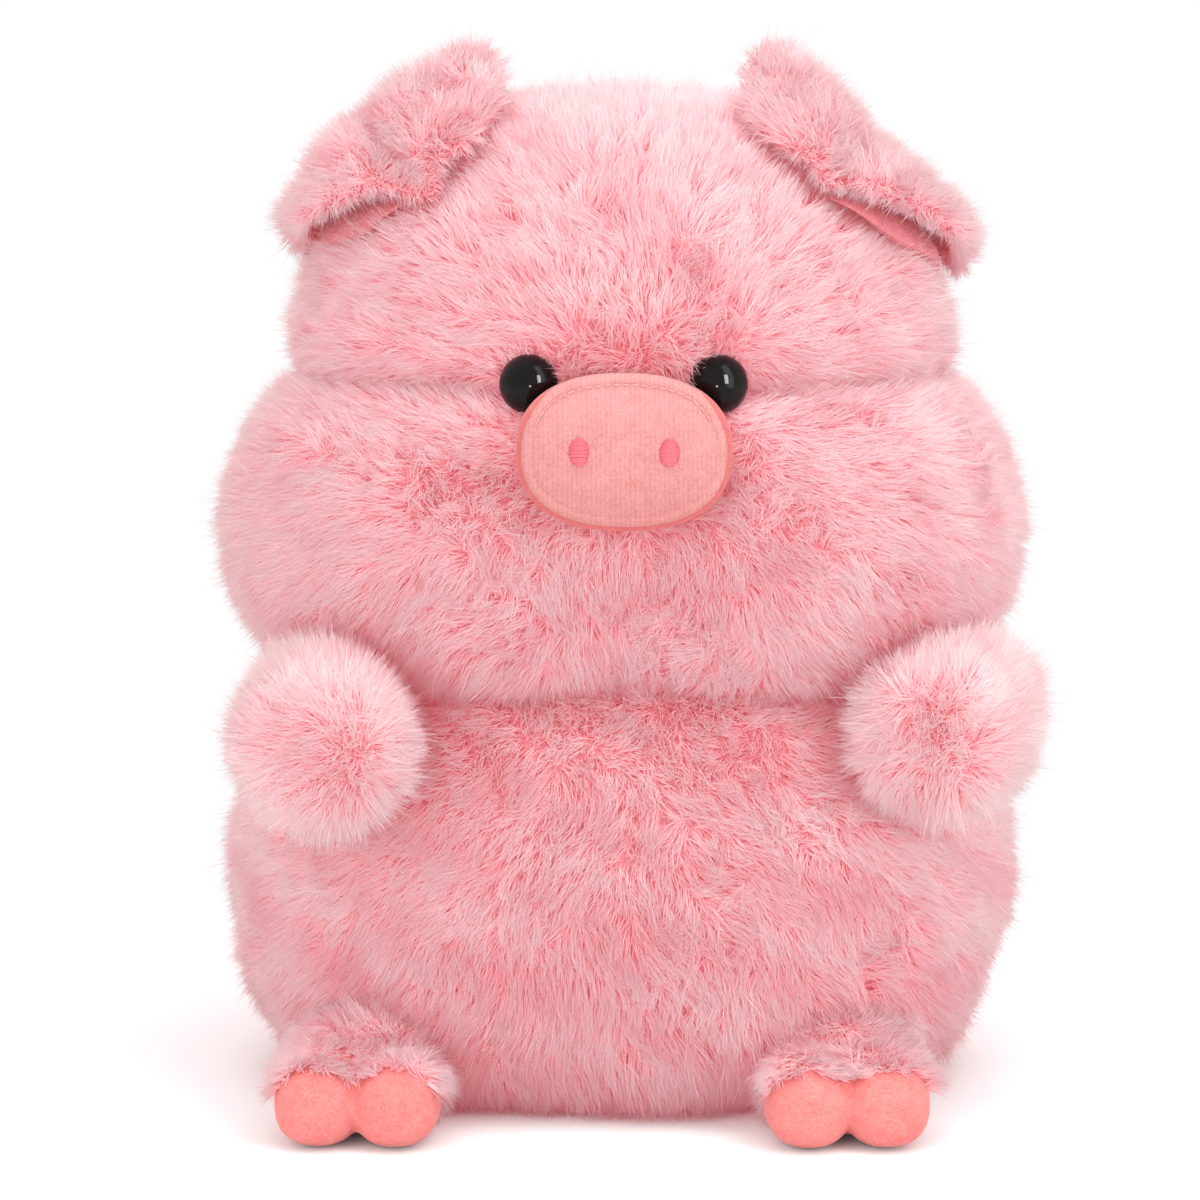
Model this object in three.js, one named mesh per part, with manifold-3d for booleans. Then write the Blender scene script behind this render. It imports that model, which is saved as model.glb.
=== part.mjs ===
// A chubby plush pig of long-pile fur fabric, standing on a flat seat and two cloven velour hooves.
// Millimetres, +Z up. The origin is the middle of the seat on the floor, and the pig looks along -Y.
// Its own left side is +X. Every cover is a sewn shell of fur fabric with its stuffing inside.
import * as THREE from "three";
import { mergeVertices } from "three/addons/utils/BufferGeometryUtils.js";
import Module from "manifold-3d";

const wasm = await Module();
wasm.setup();

// Fabric and clearances
const furWall = 9; // backing cloth and pile of the fur fabric
const velourWall = 2; // short-pile velour of the snout and ear linings
const gap = 0.35; // between pieces that are sewn or pressed together
const overrun = 4; // how far a cutting shape runs past what it cuts

// The body: a barrel that swells at the belly and closes under the cheeks
const body = {
  bottom: 0,
  height: 118,
  halfWidth: 98.3,
  front: 79,
  back: 72,
  squareness: 2.15,
  // height, half width, front reach, back reach, front dip
  rowShares: [
    [0, 0.66, 0.6, 0.68, 0],
    [0.03, 0.79, 0.72, 0.8, 0],
    [0.09, 0.88, 0.83, 0.88, 0],
    [0.17, 0.935, 0.91, 0.94, 0],
    [0.28, 0.975, 0.965, 0.98, 0],
    [0.43, 1, 1, 1, 0],
    [0.57, 0.99, 0.99, 0.99, 0],
    [0.71, 0.945, 0.945, 0.95, 0],
    [0.84, 0.85, 0.84, 0.86, 0],
    [0.94, 0.62, 0.62, 0.63, 0],
    [1, 0, 0, 0, 0],
  ],
};

// The cheeks: the wide lower half of the head, two lobes with the snout between them
const headSunk = 28; // how deep the head is let into the body
const cheeks = {
  bottom: body.bottom + body.height - headSunk,
  height: 96,
  halfWidth: 99.8,
  front: 83,
  back: 70,
  squareness: 2.2,
  dip: 9,
  dipHalfWidth: 25,
  rowShares: [
    [0, 0, 0, 0, 0],
    [0.03, 0.42, 0.42, 0.42, 0.2],
    [0.09, 0.7, 0.7, 0.7, 0.5],
    [0.17, 0.87, 0.86, 0.87, 0.9],
    [0.26, 0.945, 0.94, 0.945, 1],
    [0.38, 0.985, 0.985, 0.985, 1],
    [0.52, 1, 1, 1, 1],
    [0.64, 0.98, 0.98, 0.98, 1],
    [0.76, 0.94, 0.94, 0.94, 0.9],
    [0.86, 0.87, 0.87, 0.87, 0.6],
    [0.93, 0.73, 0.73, 0.73, 0.3],
    [0.975, 0.46, 0.46, 0.46, 0],
    [1, 0, 0, 0, 0],
  ],
};

// The crown: the narrower dome of the forehead, which sits in a crease on the cheeks
const crownSunk = 26;
const crown = {
  bottom: cheeks.bottom + cheeks.height - crownSunk,
  height: 87.5,
  halfWidth: 82.4,
  front: 69,
  back: 65,
  squareness: 2.15,
  rowShares: [
    [0, 0, 0, 0, 0],
    [0.04, 0.6, 0.6, 0.6, 0],
    [0.1, 0.87, 0.87, 0.87, 0],
    [0.18, 0.975, 0.975, 0.975, 0],
    [0.28, 1, 1, 1, 0],
    [0.4, 0.97, 0.97, 0.97, 0],
    [0.55, 0.91, 0.91, 0.91, 0],
    [0.69, 0.81, 0.81, 0.81, 0],
    [0.81, 0.68, 0.67, 0.68, 0],
    [0.905, 0.51, 0.5, 0.51, 0],
    [0.965, 0.32, 0.32, 0.32, 0],
    [1, 0, 0, 0, 0],
  ],
};

// Openings between the covers
const seat = { halfWidth: 50, halfDepth: 30, squareness: 2.3 };
const neck = { halfWidth: 44, halfDepth: 36 };
const pouch = { halfWidth: 42, halfDepth: 24, height: 20, endShare: 0.55, steps: 10 };

// Snout: a velour face on a side band, sewn to the cheeks
const creaseZ = cheeks.bottom + cheeks.height;
const snoutDrop = 23.5; // of the snout's middle below the crease
const snout = {
  middleZ: creaseZ - snoutDrop,
  halfWidth: 24.4,
  halfHeight: 17.6,
  squareness: 2.35,
  proud: 14, // of the fur between the cheeks
  dome: 3.2,
  tilt: THREE.MathUtils.degToRad(0.5),
};
// Rings of the snout's dome, from its rim to its middle
const domeShares = [0.995, 0.93, 0.8, 0.6, 0.35];
const nostril = { halfWidth: 2.4, halfHeight: 3, thickness: 0.7, offsetX: 10.3, offsetZ: 0.6 };

// Safety eyes: a glossy dome on a ribbed post, held by a washer behind the cloth
const eyeDrop = 9; // of their middles below the crease
const eye = {
  radius: 7,
  domeHeight: 6.2,
  flange: 0.9,
  sunk: 4.2, // how deep the flat back lies under the fur's surface
  postRadius: 1.8,
  postLength: 13,
  ribs: 3,
  ribHeight: 0.35,
  offsetX: 21.9,
  middleZ: creaseZ - eyeDrop,
  turn: THREE.MathUtils.degToRad(9),
};
const washer = { radius: 7.5, thickness: 1.6, lipRadius: 3.6, lipHeight: 1.4 };

// Ears: a fur leaf with a velour lining, sewn along the crown's shoulder and folded forwards
const ear = {
  length: 78,
  reach: 58,
  furThickness: 12,
  arch: 7,
  droop: 21,
  standOffShare: 1.45, // how much of the droop the outer end loses
  flattenShare: 0.35, // how much of the arch it loses
  archShare: 0.85, // brings the top of the arch nearer to the seam
  foldDepth: 3.5,
  foldHalfWidth: 5,
  foldShare: 0.47, // where the fold crosses the leaf, from its inner end
  hem: 1.5, // of fur round the velour lining
  liningThickness: 8, // velour with a thin pad behind it
  liningFromShare: 0.5,
  liningToShare: 0.98,
  tuck: 3, // of the sewn edge into the fur
  longSteps: 12,
  wideSteps: 6,
  seamInset: 27.9, // of the seam's middle from the crown's widest place
  seamBehind: 10, // the crown's middle
  seamDrop: 21.5, // below the crown's top
  slope: THREE.MathUtils.degToRad(46),
  lift: THREE.MathUtils.degToRad(45), // travel of the flap away from the head
};
// Reach of the ear's leaf from its inner end to its tip
const earReachShares = [0, 0.62, 0.83, 0.94, 0.99, 1, 0.97, 0.9, 0.78, 0.58, 0];

// Arms: short stuffed stubs, sewn on at the shoulder
const arm = {
  radius: 22.4,
  length: 62,
  swing: THREE.MathUtils.degToRad(35),
};
// Radius and distance from the shoulder end to the tip
const armShares = [
  [0, 0],
  [0.5, 0.03],
  [0.8, 0.13],
  [0.94, 0.29],
  [1, 0.5],
  [1, 0.66],
  [0.93, 0.82],
  [0.76, 0.93],
  [0.45, 0.985],
  [0, 1],
];
// Each shoulder from the body's side, its front and its top, and the arm's direction in degrees
const shoulders = {
  right: { inset: 28.8, setBack: 37, drop: 22.5, aside: -1, down: 3 },
  left: { inset: 15.3, setBack: 46, drop: 19, aside: -17, down: 8 },
};

// Legs: fur cuffs under the belly's edge, each with a cloven hoof
const leg = {
  radius: 23.8,
  heightShare: 0.74, // the stub is pressed lower than it is wide
  middleZ: 12,
  length: 56,
  turn: THREE.MathUtils.degToRad(15),
};
const legShares = [
  [0, 0],
  [0.55, 0.02],
  [0.86, 0.1],
  [0.97, 0.25],
  [1, 0.5],
  [0.99, 0.72],
  [0.9, 0.87],
  [0.65, 0.965],
  [0, 1],
];
const hips = {
  right: { inset: 39.3, setBack: 60, toeOut: 3 },
  left: { inset: 45.3, setBack: 59, toeOut: 4 },
};
const hoof = {
  halfWidth: 18.2,
  toeRadius: 10.6,
  toeHeight: 10.3, // half height of a toe
  toeReach: 16, // how far the toes stand out of the cuff
  padHeight: 21,
  padLength: 16,
  padSetBack: 4.5, // of the pad between the toes from their tips
  splay: THREE.MathUtils.degToRad(2),
};
// Radius of a toe and distance from its back to its tip
const toeShares = [
  [0, 0],
  [0.8, 0.04],
  [1, 0.25],
  [1, 0.62],
  [0.92, 0.81],
  [0.74, 0.92],
  [0.42, 0.985],
  [0, 1],
];

// Tail: one curl of stuffed velour
const tail = {
  radius: 4.8,
  curlRadius: 11.5,
  rootZ: 52,
  rootLength: 9,
  pitch: 11,
  turns: 1.15,
  steps: 22,
  sides: 8,
  tipShare: 0.55,
  tipRoundShare: 0.4,
  wag: THREE.MathUtils.degToRad(20),
};

// Facets
const wideSides = 24;
const wideSteps = 16;
const innerSides = 14;
const innerSteps = 10;
const limbSides = 14;
const limbInnerSides = 10;
const smallSides = 16;

const material = (name, colour, roughness) => {
  const made = new THREE.MeshStandardMaterial({ color: colour, roughness, metalness: 0 });
  made.name = name;
  return made;
};
const pinkFur = material("pink_fur", "#f4b0b8", 0.95);
const coralVelour = material("coral_velour", "#f7958f", 0.9);
const coralThread = material("coral_thread", "#f4768a", 0.6);
const blackGloss = material("black_gloss", "#141414", 0.12);
const whiteFill = material("white_fill", "#f3f1ec", 1);
const pelletCloth = material("pellet_cloth", "#e9e4da", 0.9);
const clearNylon = material("clear_nylon", "#e8e8e2", 0.4);

// Turns a closed geometry into a solid
function solid(geometry) {
  const bare = new THREE.BufferGeometry();
  bare.setAttribute("position", geometry.getAttribute("position"));
  if (geometry.index) bare.setIndex(geometry.index);
  const weld = 1e-4;
  const merged = mergeVertices(bare, weld);
  const triVerts = new Uint32Array(merged.index.array);
  const vertProperties = merged.attributes.position.array;
  return new wasm.Manifold(new wasm.Mesh({ numProp: 3, vertProperties, triVerts }));
}

// Joins solids into one
const union = (...solids) => solids.reduce((joined, one) => joined.add(one));

// Moves a solid by a three.js matrix
const moved = (one, matrix) => one.transform(matrix.toArray());

// A matrix that turns about an axis through a point
function turnAbout(pivot, axis, angle) {
  const there = new THREE.Matrix4().makeTranslation(pivot);
  const back = new THREE.Matrix4().makeTranslation(pivot.clone().negate());
  const turn = new THREE.Matrix4().makeRotationAxis(axis, angle);
  return there.multiply(turn).multiply(back);
}

// Cuts a limb clear of its neighbour over the limb's whole travel, not only at rest
function clearOverTravel(limb, neighbour, pivot, axis, angles) {
  const cutters = angles.map((angle) => moved(neighbour, turnAbout(pivot, axis, -angle)));
  return cutters.reduce((left, cutter) => left.subtract(cutter), limb);
}

// A value between rows, on a smooth curve through them
function between(rows, at, column) {
  const last = rows.length - 1;
  const i = Math.min(Math.floor(at), last - 1);
  const t = at - i;
  const [a, b, c, d] = [i - 1, i, i + 1, i + 2].map(
    (k) => rows[THREE.MathUtils.clamp(k, 0, last)][column],
  );
  const bend = 2 * a - 5 * b + 4 * c - d;
  const twist = 3 * b - a - 3 * c + d;
  return Math.max(0, (2 * b + (c - a) * t + bend * t * t + twist * t * t * t) / 2);
}

// One ring of a stuffed form, at a place among its rows; grow swells or shrinks the form
function ringOf(form, at, grow) {
  const share = (column) => between(form.rowShares, at, column);
  return {
    z: form.bottom - grow + share(0) * (form.height + 2 * grow),
    halfWidth: share(1) * (form.halfWidth + grow),
    front: share(2) * (form.front + grow),
    back: share(3) * (form.back + grow),
    dip: share(4) * (form.dip ?? 0),
  };
}

// A point of a ring: a rounded oval, pressed in at the middle of its front
function ringPoint(form, ring, angle) {
  const power = 2 / form.squareness;
  const across = Math.sign(Math.cos(angle)) * Math.abs(Math.cos(angle)) ** power;
  const along = Math.sign(Math.sin(angle)) * Math.abs(Math.sin(angle)) ** power;
  const x = across * ring.halfWidth;
  const isFront = along < 0;
  const dent = isFront && ring.dip ? ring.dip * Math.exp(-((x / form.dipHalfWidth) ** 2)) : 0;
  const y = along * (isFront ? ring.front - dent : ring.back);
  return new THREE.Vector3(x, y, ring.z);
}

// Skins rings of points with triangles; each end closes on its pole
function skinned(rings, firstPole, lastPole) {
  const sides = rings[0].length;
  const points = [firstPole, ...rings.flat(), lastPole];
  const faces = [];
  const at = (ring, side) => 1 + ring * sides + (side % sides);
  for (let s = 0; s < sides; s++) {
    faces.push(0, at(0, s + 1), at(0, s));
    for (let r = 0; r + 1 < rings.length; r++) {
      faces.push(at(r, s), at(r, s + 1), at(r + 1, s + 1));
      faces.push(at(r, s), at(r + 1, s + 1), at(r + 1, s));
    }
    faces.push(at(rings.length - 1, s), at(rings.length - 1, s + 1), points.length - 1);
  }
  const geometry = new THREE.BufferGeometry().setFromPoints(points);
  geometry.setIndex(faces);
  return solid(geometry);
}

// A stuffed form as a solid
function stuffed(form, grow = 0, sides = wideSides, steps = wideSteps) {
  const last = form.rowShares.length - 1;
  const rings = [];
  const flatBottom = form.rowShares[0][1] > 0;
  for (let step = flatBottom ? 0 : 1; step < steps; step++) {
    const ring = ringOf(form, (step / steps) * last, grow);
    const round = Array.from({ length: sides }, (_, s) => (s * 2 * Math.PI) / sides);
    rings.push(round.map((angle) => ringPoint(form, ring, angle)));
  }
  const pole = (at) => new THREE.Vector3(0, 0, ringOf(form, at, grow).z);
  return skinned(rings, pole(0), pole(last));
}

// The ring of a stuffed form at a height
function ringAt(form, z) {
  let [low, high] = [0, form.rowShares.length - 1];
  const halvings = 30;
  for (let i = 0; i < halvings; i++) {
    const middle = (low + high) / 2;
    if (ringOf(form, middle, 0).z < z) low = middle;
    else high = middle;
  }
  return ringOf(form, low, 0);
}

// Where a stuffed form's back lies in its middle plane, and its front anywhere
const backOf = (form, z) => ringAt(form, z).back;
function frontOf(form, x, z) {
  const ring = ringAt(form, z);
  const across = Math.min(1, Math.abs(x) / Math.max(ring.halfWidth, Number.EPSILON));
  const along = (1 - across ** form.squareness) ** (1 / form.squareness);
  const dent = ring.dip ? ring.dip * Math.exp(-((x / form.dipHalfWidth) ** 2)) : 0;
  return -along * (ring.front - dent);
}

// An upright prism with a rounded oval outline
function ovalPrism({ halfWidth, halfDepth, squareness = 2 }, fromZ, toZ, sides = innerSides) {
  const shape = new THREE.Shape();
  const power = 2 / squareness;
  for (let s = 0; s < sides; s++) {
    const angle = (s * 2 * Math.PI) / sides;
    const x = Math.sign(Math.cos(angle)) * Math.abs(Math.cos(angle)) ** power * halfWidth;
    const y = Math.sign(Math.sin(angle)) * Math.abs(Math.sin(angle)) ** power * halfDepth;
    if (s) shape.lineTo(x, y);
    else shape.moveTo(x, y);
  }
  const geometry = new THREE.ExtrudeGeometry(shape, { depth: toZ - fromZ, bevelEnabled: false });
  return solid(geometry.translate(0, 0, fromZ));
}

// A round stub turned from a profile of radius and distance, along +Z from the origin
function stub(shares, radius, length, grow = 0, sides = limbSides) {
  const outline = new THREE.SplineCurve(
    shares.map(([r, h]) => new THREE.Vector2(r * (radius + grow), h * (length + 2 * grow) - grow)),
  );
  const points = outline.getPoints(shares.length);
  points.forEach((p) => p.setX(Math.max(0, p.x)));
  points[0].setX(0);
  points[points.length - 1].setX(0);
  return solid(new THREE.LatheGeometry(points, sides));
}

// Everything below the floor
const floorSide = 4 * body.halfWidth;
const floor = solid(
  new THREE.BoxGeometry(floorSide, floorSide, body.halfWidth).translate(0, 0, -body.halfWidth / 2),
);

// The scene: one group for each body that moves, placed at its seam
const pig = new THREE.Group();
pig.name = "plush_pig";
function groupAt(name, pivot) {
  const group = new THREE.Group();
  group.name = name;
  group.position.copy(pivot);
  pig.add(group);
  return group;
}
function place(one, name, look, group) {
  const made = one.getMesh();
  const positions = new Float32Array(made.numVert * 3);
  for (let v = 0; v < made.numVert; v++) {
    for (let axis = 0; axis < 3; axis++) {
      const moveBack = group.position.getComponent(axis);
      positions[v * 3 + axis] = made.vertProperties[v * made.numProp + axis] - moveBack;
    }
  }
  const geometry = new THREE.BufferGeometry();
  geometry.setAttribute("position", new THREE.BufferAttribute(positions, 3));
  geometry.setIndex(new THREE.BufferAttribute(made.triVerts, 1));
  geometry.computeVertexNormals();
  const mesh = new THREE.Mesh(geometry, look);
  mesh.name = name;
  group.add(mesh);
}
const torso = groupAt("torso", new THREE.Vector3());

// Head and body, outside and inside
const bodyOuter = stuffed(body);
const cheeksOuter = stuffed(cheeks);
const crownOuter = stuffed(crown);
const cheeksClear = stuffed(cheeks, gap);
const crownClear = stuffed(crown, gap);
const bodyClear = stuffed(body, gap);
const bodyHollow = stuffed(body, -furWall, innerSides, innerSteps);
const headHollow = stuffed(cheeks, -furWall, innerSides, innerSteps).add(
  stuffed(crown, -furWall, innerSides, innerSteps),
);
const headStuffing = stuffed(cheeks, -furWall - gap, innerSides, innerSteps).add(
  stuffed(crown, -furWall - gap, innerSides, innerSteps),
);

// Neck opening in the underside of the cheeks, with the head's stuffing bulging through it
const neckTop = cheeks.bottom + 2 * furWall;
const neckHole = ovalPrism(neck, cheeks.bottom - overrun, neckTop);
const neckPlug = ovalPrism(
  { halfWidth: neck.halfWidth - gap, halfDepth: neck.halfDepth - gap },
  cheeks.bottom - overrun,
  neckTop + overrun,
).intersect(cheeksOuter);

// Seat opening in the body's base, closed by its own flat panel
const seatHole = ovalPrism(seat, -overrun, furWall + overrun);
const seatPanel = ovalPrism(
  {
    halfWidth: seat.halfWidth - gap,
    halfDepth: seat.halfDepth - gap,
    squareness: seat.squareness,
  },
  0,
  furWall - gap,
);

// A cushion of pellets low in the body
function pelletPouch(grow) {
  const half = pouch.height / 2 + grow;
  const profile = new THREE.SplineCurve([
    new THREE.Vector2(0, -half),
    new THREE.Vector2((pouch.halfWidth + grow) * pouch.endShare, -half),
    new THREE.Vector2(pouch.halfWidth + grow, 0),
    new THREE.Vector2((pouch.halfWidth + grow) * pouch.endShare, half),
    new THREE.Vector2(0, half),
  ]);
  const points = profile.getPoints(pouch.steps);
  points.forEach((p) => p.set(Math.max(0, p.x), THREE.MathUtils.clamp(p.y, -half, half)));
  points[0].setX(0);
  points[points.length - 1].setX(0);
  const depthShare = (pouch.halfDepth + grow) / (pouch.halfWidth + grow);
  const round = new THREE.LatheGeometry(points, innerSides).rotateX(Math.PI / 2);
  round.scale(1, depthShare, 1);
  return solid(round.translate(0, 0, furWall + gap + pouch.height / 2));
}

// Snout: outline, side band and domed face, all along -Y
const snoutSeatY = Math.min(
  frontOf(cheeks, 0, snout.middleZ),
  frontOf(crown, 0, snout.middleZ + snout.halfHeight),
);
const snoutFaceY = snoutSeatY - snout.proud;
const snoutBackY = snoutSeatY + cheeks.dip + furWall;
const toSnout = new THREE.Matrix4()
  .makeTranslation(0, snoutFaceY, snout.middleZ)
  .multiply(new THREE.Matrix4().makeRotationY(snout.tilt))
  .multiply(new THREE.Matrix4().makeRotationX(Math.PI / 2));
// In the snout's own frame +Z points out of the face, and Y is up
function snoutPrism(inset, from, to) {
  const outline = {
    halfWidth: snout.halfWidth - inset,
    halfDepth: snout.halfHeight - inset,
    squareness: snout.squareness,
  };
  return moved(ovalPrism(outline, from, to, wideSides), toSnout);
}
function snoutDome(inset, height, from) {
  const rings = domeShares.map((share) => {
    const power = 2 / snout.squareness;
    const z = from + height * (1 - share ** 3);
    return Array.from({ length: wideSides }, (_, s) => {
      const angle = (s * 2 * Math.PI) / wideSides;
      const c = Math.cos(angle);
      const k = Math.sin(angle);
      return new THREE.Vector3(
        Math.sign(c) * Math.abs(c) ** power * (snout.halfWidth - inset) * share,
        Math.sign(k) * Math.abs(k) ** power * (snout.halfHeight - inset) * share,
        z,
      );
    });
  });
  const foot = rings[0].map((p) => p.clone().setZ(from - velourWall));
  const base = new THREE.Vector3(0, 0, from - velourWall);
  return moved(skinned([foot, ...rings], base, new THREE.Vector3(0, 0, from + height)), toSnout);
}
const snoutDepth = snoutBackY - snoutFaceY;
const snoutFace = snoutDome(0, snout.dome, 0).subtract(snoutDome(velourWall, snout.dome, -velourWall));
const snoutBand = snoutPrism(0, -snoutDepth, -velourWall - gap)
  .subtract(snoutPrism(velourWall, -snoutDepth - overrun, overrun))
  .subtract(cheeksClear)
  .subtract(crownClear);
const snoutFill = union(
  snoutPrism(velourWall + gap, -snoutDepth, -2 * velourWall),
  snoutDome(velourWall + gap, snout.dome, -velourWall - gap),
)
  .subtract(cheeksClear)
  .subtract(crownClear);

// Embroidered nostrils: low oval pads of satin stitch on the face
function nostrilPad(side, grow) {
  const across = nostril.offsetX * side;
  const rise = snout.dome * (1 - (nostril.offsetX / snout.halfWidth) ** 3);
  const outline = { halfWidth: nostril.halfWidth, halfDepth: nostril.halfHeight };
  const pad = ovalPrism(outline, -velourWall, rise + nostril.thickness, smallSides);
  const sit = new THREE.Matrix4().makeTranslation(across, nostril.offsetZ, 0);
  return moved(moved(pad, sit), toSnout).subtract(snoutDome(-grow, snout.dome + grow, 0));
}

// Eyes: each turned a little outwards, with its flat back sunk in the pile
function eyeFrame(side) {
  const x = eye.offsetX * side;
  const surface = Math.min(frontOf(cheeks, x, eye.middleZ), frontOf(crown, x, eye.middleZ));
  return new THREE.Matrix4()
    .makeTranslation(x, surface + eye.sunk, eye.middleZ)
    .multiply(new THREE.Matrix4().makeRotationZ(eye.turn * side))
    .multiply(new THREE.Matrix4().makeRotationX(Math.PI / 2));
}
// In the eye's own frame +Z points out, and z = 0 is the flat back
function eyeBody() {
  const dome = [];
  const domeSteps = 6;
  for (let i = 0; i <= domeSteps; i++) {
    const angle = (i / domeSteps) * (Math.PI / 2);
    dome.push(
      new THREE.Vector2(
        i === domeSteps ? 0 : eye.radius * Math.cos(angle),
        eye.flange + eye.domeHeight * Math.sin(angle),
      ),
    );
  }
  const post = [];
  const ribPitch = eye.postLength / (2 * eye.ribs + 1);
  for (let i = eye.ribs; i > 0; i--) {
    const z = -2 * i * ribPitch;
    post.push(new THREE.Vector2(eye.postRadius - eye.ribHeight, z));
    post.push(new THREE.Vector2(eye.postRadius, z + ribPitch));
  }
  const profile = [
    new THREE.Vector2(0, -eye.postLength),
    new THREE.Vector2(eye.postRadius - eye.ribHeight, -eye.postLength),
    ...post,
    new THREE.Vector2(eye.postRadius, 0),
    new THREE.Vector2(eye.radius - eye.flange / 2, 0),
    ...dome,
  ];
  return solid(new THREE.LatheGeometry(profile, smallSides).rotateX(Math.PI / 2));
}
function roundBar(radius, from, to) {
  const bar = new THREE.CylinderGeometry(radius, radius, to - from, smallSides);
  return solid(bar.rotateX(Math.PI / 2).translate(0, 0, (from + to) / 2));
}
// The washer bears on the cloth inside the cover, one fabric wall behind the fur's surface
const washerFrom = eye.sunk - furWall;
function washerBody(grow) {
  const disc = roundBar(washer.radius + grow, washerFrom - washer.thickness - grow, washerFrom + grow);
  const lip = roundBar(
    washer.lipRadius + grow,
    washerFrom - washer.thickness - washer.lipHeight - grow,
    washerFrom,
  );
  return disc.add(lip);
}
const eyeParts = [1, -1].map((side) => {
  const frame = eyeFrame(side);
  const clearWasher = washerBody(gap);
  const behind = roundBar(eye.postRadius + gap, -eye.postLength - gap, overrun);
  const before = roundBar(eye.radius + gap, -gap, eye.sunk + eye.domeHeight + overrun);
  const bore = roundBar(eye.postRadius + gap, -eye.postLength - overrun, overrun);
  // The covers stay open behind the washer, all the way into the hollow
  const wayIn = roundBar(washer.radius + gap, -eye.postLength - furWall, washerFrom + gap);
  return {
    eye: moved(eyeBody(), frame),
    washer: moved(washerBody(0).subtract(bore), frame),
    recess: moved(union(before, behind, wayIn), frame),
    pocket: moved(union(before, behind, clearWasher), frame),
  };
});
const eyeRecesses = union(...eyeParts.map((parts) => parts.recess));
const eyePockets = union(...eyeParts.map((parts) => parts.pocket));
// The snout is pressed between the eyes, so it is hollowed where they stand
const eyeRoom = union(
  ...[1, -1].map((side) =>
    moved(roundBar(eye.radius + gap, -gap, eye.flange + eye.domeHeight + gap), eyeFrame(side)),
  ),
);

// The covers and stuffing of head and body
place(crownOuter.subtract(cheeksClear).subtract(headHollow).subtract(eyeRecesses),
  "crown_cover", pinkFur, torso);
place(cheeksOuter.subtract(headHollow).subtract(neckHole).subtract(eyeRecesses),
  "cheek_cover", pinkFur, torso);
place(headStuffing.add(neckPlug).subtract(eyePockets), "head_stuffing", whiteFill, torso);
place(bodyOuter.subtract(cheeksClear).subtract(bodyHollow).subtract(seatHole),
  "body_cover", pinkFur, torso);
const bodyStuffing = stuffed(body, -furWall - gap, innerSides, innerSteps)
  .subtract(cheeksClear)
  .subtract(pelletPouch(gap));
place(bodyStuffing, "body_stuffing", whiteFill, torso);
place(seatPanel, "seat_panel", pinkFur, torso);
place(pelletPouch(0), "pellet_pouch", pelletCloth, torso);
place(snoutFace.subtract(eyeRoom), "snout_face", coralVelour, torso);
place(snoutBand.subtract(eyeRoom), "snout_band", coralVelour, torso);
place(snoutFill.subtract(eyeRoom), "snout_stuffing", whiteFill, torso);
["left", "right"].forEach((name, i) => {
  const side = i ? -1 : 1;
  place(nostrilPad(side, gap), `nostril_${name}`, coralThread, torso);
  place(eyeParts[i].eye, `eye_${name}`, blackGloss, torso);
  place(eyeParts[i].washer, `eye_washer_${name}`, clearNylon, torso);
});

// A padded leaf: a grid of points on a curved middle sheet, thickened to both sides.
// The steps close up towards its edges, which so come out round.
function paddedLeaf(sheet, outThickness, inThickness, longSteps, wideSteps) {
  const points = [];
  const index = new Map();
  const vertex = (i, j, side) => {
    const edge = i === 0 || j === 0 || i === longSteps || j === wideSteps;
    const key = `${i},${j},${edge ? 0 : side}`;
    if (!index.has(key)) {
      const u = (1 - Math.cos((Math.PI * i) / longSteps)) / 2;
      const v = (1 - Math.cos((Math.PI * j) / wideSteps)) / 2;
      const swell = Math.cbrt(Math.sin(Math.PI * u) * Math.sin(Math.PI * v));
      const thick = edge ? (outThickness + inThickness) / 2 : side > 0 ? outThickness : inThickness;
      const share = edge ? 0 : swell;
      const base = (outThickness + inThickness) / 2;
      index.set(key, points.length);
      points.push(sheet(u, v, base + (thick - base) * share));
    }
    return index.get(key);
  };
  const faces = [];
  for (let i = 0; i < longSteps; i++) {
    for (let j = 0; j < wideSteps; j++) {
      const top = [vertex(i, j, 1), vertex(i + 1, j, 1), vertex(i + 1, j + 1, 1), vertex(i, j + 1, 1)];
      const low = [vertex(i, j, -1), vertex(i + 1, j, -1), vertex(i + 1, j + 1, -1), vertex(i, j + 1, -1)];
      faces.push(top[0], top[2], top[1], top[0], top[3], top[2]);
      faces.push(low[0], low[1], low[2], low[0], low[2], low[3]);
    }
  }
  const geometry = new THREE.BufferGeometry().setFromPoints(points);
  geometry.setIndex(faces);
  return solid(geometry);
}

// The left ear; the right one is its mirror image. Along the leaf the seam slopes down and
// outwards, and across it the flap arches forwards over the crown.
const headClear = crownClear.add(cheeksClear);
const earSeam = new THREE.Vector3(
  crown.halfWidth - ear.seamInset,
  ear.seamBehind,
  crown.bottom + crown.height - ear.seamDrop,
);
const earAlong = new THREE.Vector3(Math.cos(ear.slope), 0, -Math.sin(ear.slope));
const earOutward = new THREE.Vector3(Math.sin(ear.slope), 0, Math.cos(ear.slope));
const forward = new THREE.Vector3(0, -1, 0);
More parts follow.
